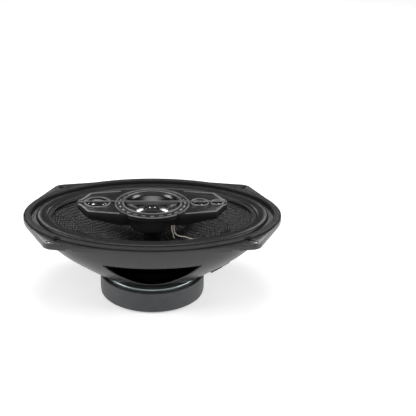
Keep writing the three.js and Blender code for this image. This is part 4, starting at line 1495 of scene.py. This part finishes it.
# %% Mark tree
def mark_tree(look):
    """Marks bent to a circle and turned round it."""
    tree, enter, leave = growing_tree(
        "dial_marks",
        [
            ("Count", "NodeSocketInt"),
            ("Radius", "NodeSocketFloat"),
            ("Length", "NodeSocketFloat"),
            ("Width", "NodeSocketFloat"),
            ("Thickness", "NodeSocketFloat"),
            ("Height", "NodeSocketFloat"),
            ("Slope", "NodeSocketFloat"),
        ],
    )
    size = enter.outputs
    block = node(
        tree,
        "ShaderNodeCombineXYZ",
        {"X": size["Width"], "Y": size["Length"], "Z": size["Thickness"]},
    )
    bar = node(
        tree,
        "GeometryNodeMeshCube",
        {"Size": block.outputs[0], "Vertices X": 2, "Vertices Y": 9, "Vertices Z": 2},
    )
    place = node(tree, "GeometryNodeInputPosition").outputs[0]
    part = node(tree, "ShaderNodeSeparateXYZ", {0: place}).outputs
    angle = maths(tree, "DIVIDE", part["Y"], size["Radius"])
    out = maths(tree, "ADD", part["X"], size["Radius"])
    fall = maths(tree, "MULTIPLY", part["X"], size["Slope"])
    level = maths(tree, "ADD", maths(tree, "SUBTRACT", part["Z"], fall), size["Height"])
    bent = node(
        tree,
        "ShaderNodeCombineXYZ",
        {
            "X": maths(tree, "MULTIPLY", out, maths(tree, "COSINE", angle)),
            "Y": maths(tree, "MULTIPLY", out, maths(tree, "SINE", angle)),
            "Z": level,
        },
    )
    mark = node(
        tree,
        "GeometryNodeSetPosition",
        {"Geometry": bar.outputs["Mesh"], "Position": bent.outputs[0]},
    )
    spots = node(tree, "GeometryNodePoints", {"Count": size["Count"]})
    index = node(tree, "GeometryNodeInputIndex").outputs[0]
    share = maths(tree, "DIVIDE", index, size["Count"])
    around = maths(tree, "MULTIPLY", share, 2 * math.pi)
    turn = node(tree, "ShaderNodeCombineXYZ", {"X": 0.0, "Y": 0.0, "Z": around})
    set_out = node(
        tree,
        "GeometryNodeInstanceOnPoints",
        {"Points": spots.outputs[0], "Instance": mark.outputs[0], "Rotation": turn.outputs[0]},
    )
    finish_tree(tree, leave, set_out.outputs[0], look)
    return tree


# %% Dial marks
slope = dial_step / (dial_out - dial_land - dial_in - dial_land)
mark_radius = 30.0
marks = grow(
    "dial_marks",
    mark_tree(looks["silver_trim"]),
    {
        "Count": 24,
        "Radius": mark_radius * MM,
        "Length": 3.6 * MM,
        "Width": 1.1 * MM,
        "Thickness": 0.3 * MM,
        "Height": (dial_high.z - (mark_radius - dial_in - dial_land) * slope + 0.08) * MM,
        "Slope": slope,
    },
)
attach(marks, "frame")
print("dial marks:", len(marks.data.polygons), "faces")

# %% [markdown]
# ## Silver edge lines
# The bridge is outlined in silver. The rings are eased sections; the lines along the wings are
# thin flat strips with mitred corners, broader on the two slanting ends, where the moulding's
# own chamfer is painted too.

# %% Rings
def trim_ring(name, solid, inner, outer, low, high, turns=192, centre=0.0):
    """A silver ring with soft edges."""
    section = [(inner, low), (outer, low), (outer, high), (inner, high)]
    smooth = [(p[0], p[1]) for p in eased(section, 0.3, 3)]
    piece = build(name, turned(smooth, turns, (centre, 0)))
    return claim(piece, solid)


_, ring_high = span("outer_ring_trim")
trim_ring("outer_silver_ring", "outer_ring_trim", 32.8, 34.1, step_height, ring_high.z)
_, ring_high = span("inner_ring_trim")
trim_ring("inner_silver_ring", "inner_ring_trim", dial_in, 27.2, wing_top - 0.1, ring_high.z)
for name, pod in pods.items():
    _, ring_high = span(f"{name}_pod_ring")
    outer = pod["radius"]
    trim_ring(
        f"{name}_silver_ring",
        f"{name}_pod_ring",
        outer - 1.2,
        outer,
        wing_top - 0.1,
        ring_high.z,
        96,
        pod["x"],
    )

# %% Lines along the wings
_, trim_high = span("bridge_trim_left_front")
line_outer = [(29.5, 26.53), (corner_x, corner_y), (land_x, land_y), (67.2, 4.9)]
line_inner = [
    (65.6, 4.5),
    (land_x - 1.9, land_y - 0.5),
    (corner_x - 1.1, corner_y - 1.5),
    (29.5, 25.3),
]
for side, sx in (("left", -1), ("right", 1)):
    for place, sy in (("front", -1), ("back", 1)):
        outline = [(sx * x, sy * y) for x, y in line_outer + line_inner]
        if sx * sy > 0:
            outline = outline[::-1]
        line = build(f"silver_line_{side}_{place}", prism(outline, wing_top - 0.1, trim_high.z))
        outward(line)
        bevel(line, 0.2, 2)
        claim(line, f"bridge_trim_{side}_{place}")

# %% [markdown]
# A thin bar crosses the whole bridge. It stands on two feet at the tips, and a web under its
# middle rests on the midrange's frame.

# %% Cross bar
bar_low, bar_high = span("cross_bar")
bar_half = bar_high.y
web = 23.2
under_bar, foot = bar_high.z - 0.7, wing_top - 0.1
right_side = [
    (web, bar_low.z),
    (web, under_bar),
    (tip - 2, under_bar),
    (tip - 2, foot),
    (tip, foot),
    (tip, bar_high.z),
]
side_view = [(-x, z) for x, z in right_side[::-1]] + right_side
bar = build("silver_cross_bar", moved(prism(side_view, -bar_half, bar_half), along_y))
bevel(bar, 0.18, 2, 50)
claim(bar, "cross_bar")

# %% [markdown]
# ## The midrange
# Under the dial hangs a drum with a rounded bottom edge, which holds a small driver: a gloss
# dish that throws back the soft boxes, and a metal dome with a dimple in its middle. The
# dish and dome are thin shells with smooth curves, because on a mirror finish every facet
# would show.

# %% Cup and frame
cup_low, cup_high = span("mid_cup")
cup = cup_high.x
cup_section = [
    (2.2, cup_low.z),
    (cup - 6, cup_low.z),
    (cup - 4.2, cup_low.z + 0.4),
    (cup - 2.4, cup_low.z + 1.7),
    (cup - 1.1, cup_low.z + 3.7),
    (cup - 0.5, cup_low.z + 6.4),
    (cup, cup_low.z + 8),
    (cup, cup_high.z),
    (cup - 1.6, cup_high.z),
    (cup - 1.6, cup_low.z + 8.6),
    (cup - 2.7, cup_low.z + 4.6),
    (cup - 4.4, cup_low.z + 2.6),
    (cup - 6.8, cup_low.z + 1.6),
    (2.2, cup_low.z + 1.6),
]
drum = ring_of("midrange_cup", "mid_cup", cup_section, 1.6, 192, 5)
# The drum's greyer finish is painted light against the bowl's shade.
drum.data.materials[0] = looks["drum_plastic_painted_light"]
frame_low, frame_high = span("mid_frame")
dish_low, dish_high = span("mid_cone")
frame_section = [
    (11.6, frame_low.z),
    (13.1, frame_low.z),
    (21.1, dish_low.z + 4),
    (21.1, disc_top - 3),
    (23.8, disc_top - 2.6),
    (23.8, dial_low.z),
    (frame_high.x, dial_low.z),
    (frame_high.x, frame_high.z),
    (frame_high.x - 0.9, frame_high.z),
    (23.2, dish_high.z + 0.4),
    (23.2, dish_high.z - 1.8),
    (19.9, dish_low.z + 4.6),
    (11.6, frame_low.z + 1.5),
]
ring_of("midrange_frame", "mid_frame", frame_section, 0.35, 192)

# %% Dish and dome
mouth, throat = dish_high.x, 9.0


def dish(r):
    """The height of the dish's face at a radius: steeper towards the throat."""
    share = (r - throat) / (mouth - throat)
    return dish_low.z + 0.7 + (dish_high.z - dish_low.z - 0.7) * share**0.92


dish_radii = np.linspace(throat, mouth, 24)
dish_section = [(r, dish(r) - 0.6) for r in dish_radii] + [(r, dish(r)) for r in dish_radii[::-1]]
claim(build("gloss_dish", turned(dish_section, 192)), "mid_cone")
dome_low, dome_high = span("mid_dome")
dome_radius = dome_high.x


def crown(r):
    """The dome's face: a cap with a dimple in the middle."""
    dimple = 0.5 + 0.5 * math.cos(math.pi * min(1.0, r / 5.2))
    top_height = dome_high.z - dome_low.z - 0.05
    ball = (dome_radius**2 + top_height**2) / (2 * top_height)
    cap = math.sqrt(ball**2 - r**2) - (ball - top_height)
    return dome_low.z + 0.05 + cap * (1 - 0.45 * dimple)


crown_radii = np.linspace(0, dome_radius, 48)
dome_section = [(0, dome_low.z), (dome_radius, dome_low.z)]
dome_section += [(r, crown(r)) for r in crown_radii[::-1]]
claim(build("gunmetal_dome", turned(dome_section, 192)), "mid_dome", sharp=60)

# %% [markdown]
# The driver's own motor hides in the cup: a small yoke, a slug magnet with its pole plate,
# and a coil. They are plain turned parts, and are worth making only because the cup can be
# opened.

# %% Midrange motor
small_yoke_low, small_yoke_high = span("mid_yoke")
yoke_out = small_yoke_high.x
small_yoke_section = [
    (0, small_yoke_low.z),
    (yoke_out, small_yoke_low.z),
    (yoke_out, small_yoke_high.z),
    (yoke_out - 1.4, small_yoke_high.z),
    (yoke_out - 1.4, small_yoke_low.z + 1.4),
    (0, small_yoke_low.z + 1.4),
]
ring_of("midrange_yoke", "mid_yoke", small_yoke_section, 0.4, 96)
for name, solid in (("slug_magnet", "mid_magnet"), ("pole_plate", "mid_pole_plate")):
    low, high = span(solid)
    slug = [(0, low.z), (high.x, low.z), (high.x, high.z), (0, high.z)]
    ring_of(name, solid, slug, 0.3, 96)
coil_low, coil_high = span("mid_coil")
coil_section = [(7.6, coil_low.z), (8.5, coil_low.z), (8.5, coil_high.z), (7.6, coil_high.z)]
ring_of("midrange_coil", "mid_coil", coil_section, 0.1, 96)

# %% [markdown]
# ## The tweeters
# Each pod holds a shallow bright dish with a dome in its middle. The largest, on the left, is
# a small moving dome; the two on the right are piezo discs. All three share one set of
# sections that read their sizes from their own solids.

# %% Tweeters
for name, pod in pods.items():
    at_x, domed = pod["x"], pod["dome"]
    seat_radius = pod["radius"] - pod_wall
    low, high = span(f"{name}_tweeter_motor")
    slug = [(0, low.z), (domed + 0.6, low.z), (domed + 0.6, high.z), (0, high.z)]
    motor = turned([(p[0], p[1]) for p in eased(slug, 0.3)], 64, (at_x, 0))
    claim(build(f"{name}_motor", motor), f"{name}_tweeter_motor")
    low, high = span(f"{name}_tweeter_plate")
    inner, outer = domed + 1, seat_radius - 0.3
    rise = 1.5
    bowl = [
        (inner + (outer - inner) * t, high.z - rise + rise * t**1.6)
        for t in np.linspace(1, 0, 12)
    ]
    plate = [(inner, low.z), (outer, low.z), *bowl]
    dished = build(f"{name}_dish", turned(plate, 96, (at_x, 0)))
    claim(dished, f"{name}_tweeter_plate", sharp=45)
    low, high = span(f"{name}_tweeter_dome")
    cap = [
        (domed * math.cos(t), low.z + 0.3 + (high.z - low.z - 0.3) * math.sin(t))
        for t in np.linspace(0, math.pi / 2, 20)
    ]
    dome = build(f"{name}_dome", turned([(0, low.z), (domed, low.z), *cap], 96, (at_x, 0)))
    claim(dome, f"{name}_tweeter_dome", sharp=60)

# %% Capacitors
for side in ("left", "right"):
    low, high = span(f"{side}_capacitor")
    radius, half = (high.x - low.x) / 2, (high.y - low.y) / 2
    can = [(0, -half), (radius, -half), (radius, half - 2.6), (radius - 0.4, half - 2.1)]
    can += [(radius, half - 1.6), (radius, half), (0, half)]
    place = Matrix.Translation(((low.x + high.x) / 2, 0, (low.z + high.z) / 2))
    lying = place @ Matrix.Rotation(math.pi / 2, 4, "X")
    shape = turned([(p[0], p[1]) for p in eased(can, 0.4)], 48)
    piece = build(f"{side}_capacitor_can", moved(shape, lying))
    claim(piece, f"{side}_capacitor")

# %% [markdown]
# ## The terminals
# A fibre board on the basket's end carries two tinned spades, a wide and a narrow one so that
# they cannot be swapped. They are modelled flat, where the outlines are easy, and then tipped
# onto the slope of the skirt.

# %% Terminal board and spades
terminal_x, _, terminal_z = skirt(0.1)
slope_x, _, slope_z = skirt(0.15)
tip_angle = math.atan2(slope_z - terminal_z, slope_x - terminal_x)
onto_slope = Matrix.Translation((terminal_x, 0, terminal_z)) @ Matrix.Rotation(-tip_angle, 4, "Y")
board_top, board_bottom = -0.9, -2.5
board_outline = [(-6, -12), (6, -12), (6, 12), (-6, 12)]
board = build("fibre_board", prism(board_outline, board_bottom, board_top))
carve(board, prism(circle(1.8, 32), board_bottom - 1, board_top + 1))
bevel(board, 0.3, 2)
board.data.transform(Matrix.Scale(MM, 4) @ onto_slope @ Matrix.Scale(1 / MM, 4))
claim(board, "terminal_board")
rivet_section = [
    (0, board_bottom - 1.3),
    (2.0, board_bottom - 1.3),
    (2.6, board_bottom - 0.3),
    (1.5, board_bottom - 0.3),
    (1.5, board_top + 3),
    (2.6, board_top + 3),
    (2.3, board_top + 3.8),
    (0, board_top + 3.8),
]
terminal_rivet = turned([(p[0], p[1]) for p in eased(rivet_section, 0.3)], 48)
claim(build("board_rivet", moved(terminal_rivet, onto_slope)), "terminal_rivet")
for name, y, half in (("positive", 7.2, 2.4), ("negative", -7.2, 1.4)):
    end = 13.5
    blade = [(-3, -half), (end - 1.6, -half), (end, -half + 0.9), (end, half - 0.9)]
    blade += [(end - 1.6, half), (-3, half)]
    blade = [(px, y + py) for px, py in blade]
    tab = build(f"{name}_spade", prism(blade, board_bottom - 1.1, board_bottom - 0.3))
    carve(tab, cylinder(0.75, board_bottom - 2, board_bottom + 1, 24, (end - 3.6, y)))
    bevel(tab, 0.15, 2)
    tab.data.transform(Matrix.Scale(MM, 4) @ onto_slope @ Matrix.Scale(1 / MM, 4))
    claim(tab, f"spade_{name}")

# %% [markdown]
# ## The leads
# Two thin insulated wires drop from the bridge to the cone, and two tinsel braids run from
# the terminals to the cone's back. They flex with every stroke, so they are attached to no
# body. One tree draws both kinds: a smooth curve through a few points, and
# a section of round strands that twists along it.

# %% Lead tree
def lead_tree(look):
    """Round strands twisted along the seed's edges."""
    tree, enter, leave = growing_tree(
        "twisted_lead",
        [
            ("Strands", "NodeSocketInt"),
            ("Strand radius", "NodeSocketFloat"),
            ("Lay radius", "NodeSocketFloat"),
            ("Twist per metre", "NodeSocketFloat"),
            ("Step", "NodeSocketFloat"),
        ],
    )
    size = enter.outputs
    rough_path = node(tree, "GeometryNodeMeshToCurve", {"Mesh": enter.outputs["Geometry"]})
    spline = node(
        tree, "GeometryNodeCurveSplineType", {"Curve": rough_path.outputs[0]}, spline_type="BEZIER"
    )
    handles = node(
        tree, "GeometryNodeCurveSetHandles", {"Curve": spline.outputs[0]}, handle_type="AUTO"
    )
    path = node(
        tree,
        "GeometryNodeResampleCurve",
        {"Curve": handles.outputs[0], "Length": size["Step"]},
        mode="LENGTH",
    )
    along = node(tree, "GeometryNodeSplineParameter").outputs["Length"]
    twisted = node(
        tree,
        "GeometryNodeSetCurveTilt",
        {"Curve": path.outputs[0], "Tilt": maths(tree, "MULTIPLY", along, size["Twist per metre"])},
    )
    centres = node(
        tree,
        "GeometryNodeCurvePrimitiveCircle",
        {"Radius": size["Lay radius"], "Resolution": size["Strands"]},
    )
    strand = node(
        tree,
        "GeometryNodeCurvePrimitiveCircle",
        {"Radius": size["Strand radius"], "Resolution": 10},
    )
    spots = node(tree, "GeometryNodeCurveToPoints", {"Curve": centres.outputs[0]}, mode="EVALUATED")
    strands = node(
        tree,
        "GeometryNodeInstanceOnPoints",
        {"Points": spots.outputs[0], "Instance": strand.outputs[0]},
    )
    section = node(tree, "GeometryNodeRealizeInstances", {"Geometry": strands.outputs[0]})
    links = {"Curve": twisted.outputs[0], "Profile Curve": section.outputs[0], "Fill Caps": True}
    lead = node(tree, "GeometryNodeCurveToMesh", links)
    finish_tree(tree, leave, lead.outputs[0], look)
    return tree


# %% Routes
wire_routes = {
    "positive": [
        (19.4, -24.6, 76.9),
        (19.6, -23.2, 72.4),
        (21, -20.6, 66.8),
        (25, -16.4, 62.6),
        (30, -12.4, 59.9),
        (35, -9, 56.6),
        (38.6, -7, 55),
    ],
    "negative": [
        (17.6, -24.9, 76.9),
        (17.6, -23.6, 72.4),
        (19, -20.6, 66.4),
        (19.8, -13, 61),
        (20.6, -4, 54.6),
        (20.4, 5, 51),
        (19.6, 11, 49.9),
    ],
}
tinsel_route = [
    (65.8, 31),
    (70, 33.2),
    (75, 36.2),
    (80, 39.6),
    (82.4, 43.2),
    (80, 46.6),
    (72, 48.8),
    (62, 50.4),
    (52, 52.4),
    (45, 53),
]


def lead(name, solid, route, look_name, values, from_z, to_z):
    """A lead along a route; the heights from_z and to_z are not used."""
    edges = [(i, i + 1) for i in range(len(route) - 1)]
    piece = grow(name, lead_tree(looks[look_name]), values, seed_points(route, edges))
    claim(piece, solid, sharp=60, rides=False)
    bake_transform(piece)


# %% Wires and tinsel
insulated = {
    "Strands": 3,
    "Strand radius": 0.32 * MM,
    "Lay radius": 0.24 * MM,
    "Twist per metre": 900.0,
    "Step": 0.6 * MM,
}
for polarity, route in wire_routes.items():
    solid = f"tweeter_wire_{polarity}"
    lead(f"cream_wire_{polarity}", solid, route, "lead_insulation", insulated, 76.5, 55)
braided = dict(insulated)
braided.update({"Strand radius": 0.46 * MM, "Lay radius": 0.42 * MM, "Twist per metre": 1300.0})
for polarity, side in (("positive", 7.2), ("negative", -7.2)):
    route = [(x, side, z) for x, z in tinsel_route]
    solid = f"tinsel_lead_{polarity}"
    lead(f"tinsel_braid_{polarity}", solid, route, "copper_wire", braided, 33, 52)

# %% [markdown]
# ## The studio
# The speaker stands on a white sweep. A large soft box overhead lights the rims, two tall
# boxes at the sides draw the roll's crest and the boot's flanks, and two small boxes behind
# put a pair of highlights on the dome. The sky is bright in front and dark behind, so that
# the tops of the black parts stay black. Satin black is seen only through what it mirrors,
# so the sizes and places of the boxes matter more than their power.

# %% Sweep
floor_look = bpy.data.materials.new("white_sweep")
floor_look.use_nodes = True
floor_shader = floor_look.node_tree.nodes["Principled BSDF"]
floor_shader.inputs["Base Color"].default_value = (0.86, 0.86, 0.86, 1)
floor_shader.inputs["Roughness"].default_value = 0.9
floor_shader.inputs["Specular IOR Level"].default_value = 0.1
floor_shader.inputs["Emission Color"].default_value = (1, 1, 1, 1)
floor_shader.inputs["Emission Strength"].default_value = 0.32
floor = build("sweep", prism(circle(9000, 96), -20, 0))
floor.data.materials.append(floor_look)

# %% Sky
sky = bpy.data.worlds.new("studio")
scene.world = sky
sky.use_nodes = True
sky_tree = sky.node_tree
direction = node(sky_tree, "ShaderNodeTexCoord").outputs["Generated"]
depth = node(sky_tree, "ShaderNodeSeparateXYZ", {0: direction}).outputs["Y"]
share = maths(sky_tree, "MULTIPLY_ADD", depth, 0.5, 0.5)
ramp = node(sky_tree, "ShaderNodeValToRGB", {"Fac": share})
stops = ramp.color_ramp.elements
stops[0].position, stops[0].color = 0.5, (0.62, 0.62, 0.62, 1)
stops[1].position, stops[1].color = 0.68, (0.02, 0.02, 0.02, 1)
background = sky_tree.nodes["Background"]
sky_tree.links.new(ramp.outputs["Color"], background.inputs["Color"])
background.inputs["Strength"].default_value = 1.0


# %% Soft boxes
def soft_box(name, place, aim, size, power):
    """A rectangular lamp at a place, aimed at a point; lengths in metres."""
    lamp = bpy.data.lights.new(name, "AREA")
    lamp.shape = "RECTANGLE"
    lamp.size, lamp.size_y = size
    lamp.energy = power
    box = bpy.data.objects.new(name, lamp)
    box.location = place
    box.rotation_mode = "QUATERNION"
    box.rotation_quaternion = (Vector(aim) - Vector(place)).to_track_quat("-Z", "Y")
    scene.collection.objects.link(box)


centre = (0, 0, 0.06)
soft_box("overhead", (0, 0.15, 1.3), centre, (0.8, 0.6), 6)
soft_box("left_box", (-1.1, -0.2, 0.5), centre, (0.6, 0.9), 12)
soft_box("right_box", (1.1, -0.2, 0.5), centre, (0.6, 0.9), 12)
soft_box("left_back_box", (-0.4, 1.25, 0.8), centre, (0.22, 0.22), 1.5)
soft_box("right_back_box", (0.4, 1.25, 0.8), centre, (0.22, 0.22), 1.5)

# %% [markdown]
# A long lens from a little above is the usual product view: it keeps the oval's
# proportions and shows the bridge over the bowl of the cone. The shift slides the picture
# sideways without turning the camera, so that upright edges stay upright.

# %% Camera
lens = bpy.data.cameras.new("camera")
lens.sensor_width = 36
lens.lens = 92.6
lens.shift_x, lens.shift_y = 0.134, 0.008
lens.clip_start, lens.clip_end = 0.05, 60
camera = bpy.data.objects.new("camera", lens)
camera.location = (0, -0.898, 0.4723)
camera.rotation_mode = "QUATERNION"
camera.rotation_quaternion = (
    Vector((0, 0, 0.08)) - camera.location
).to_track_quat("-Z", "Y")
scene.collection.objects.link(camera)
scene.camera = camera
scene.view_settings.view_transform = "Standard"
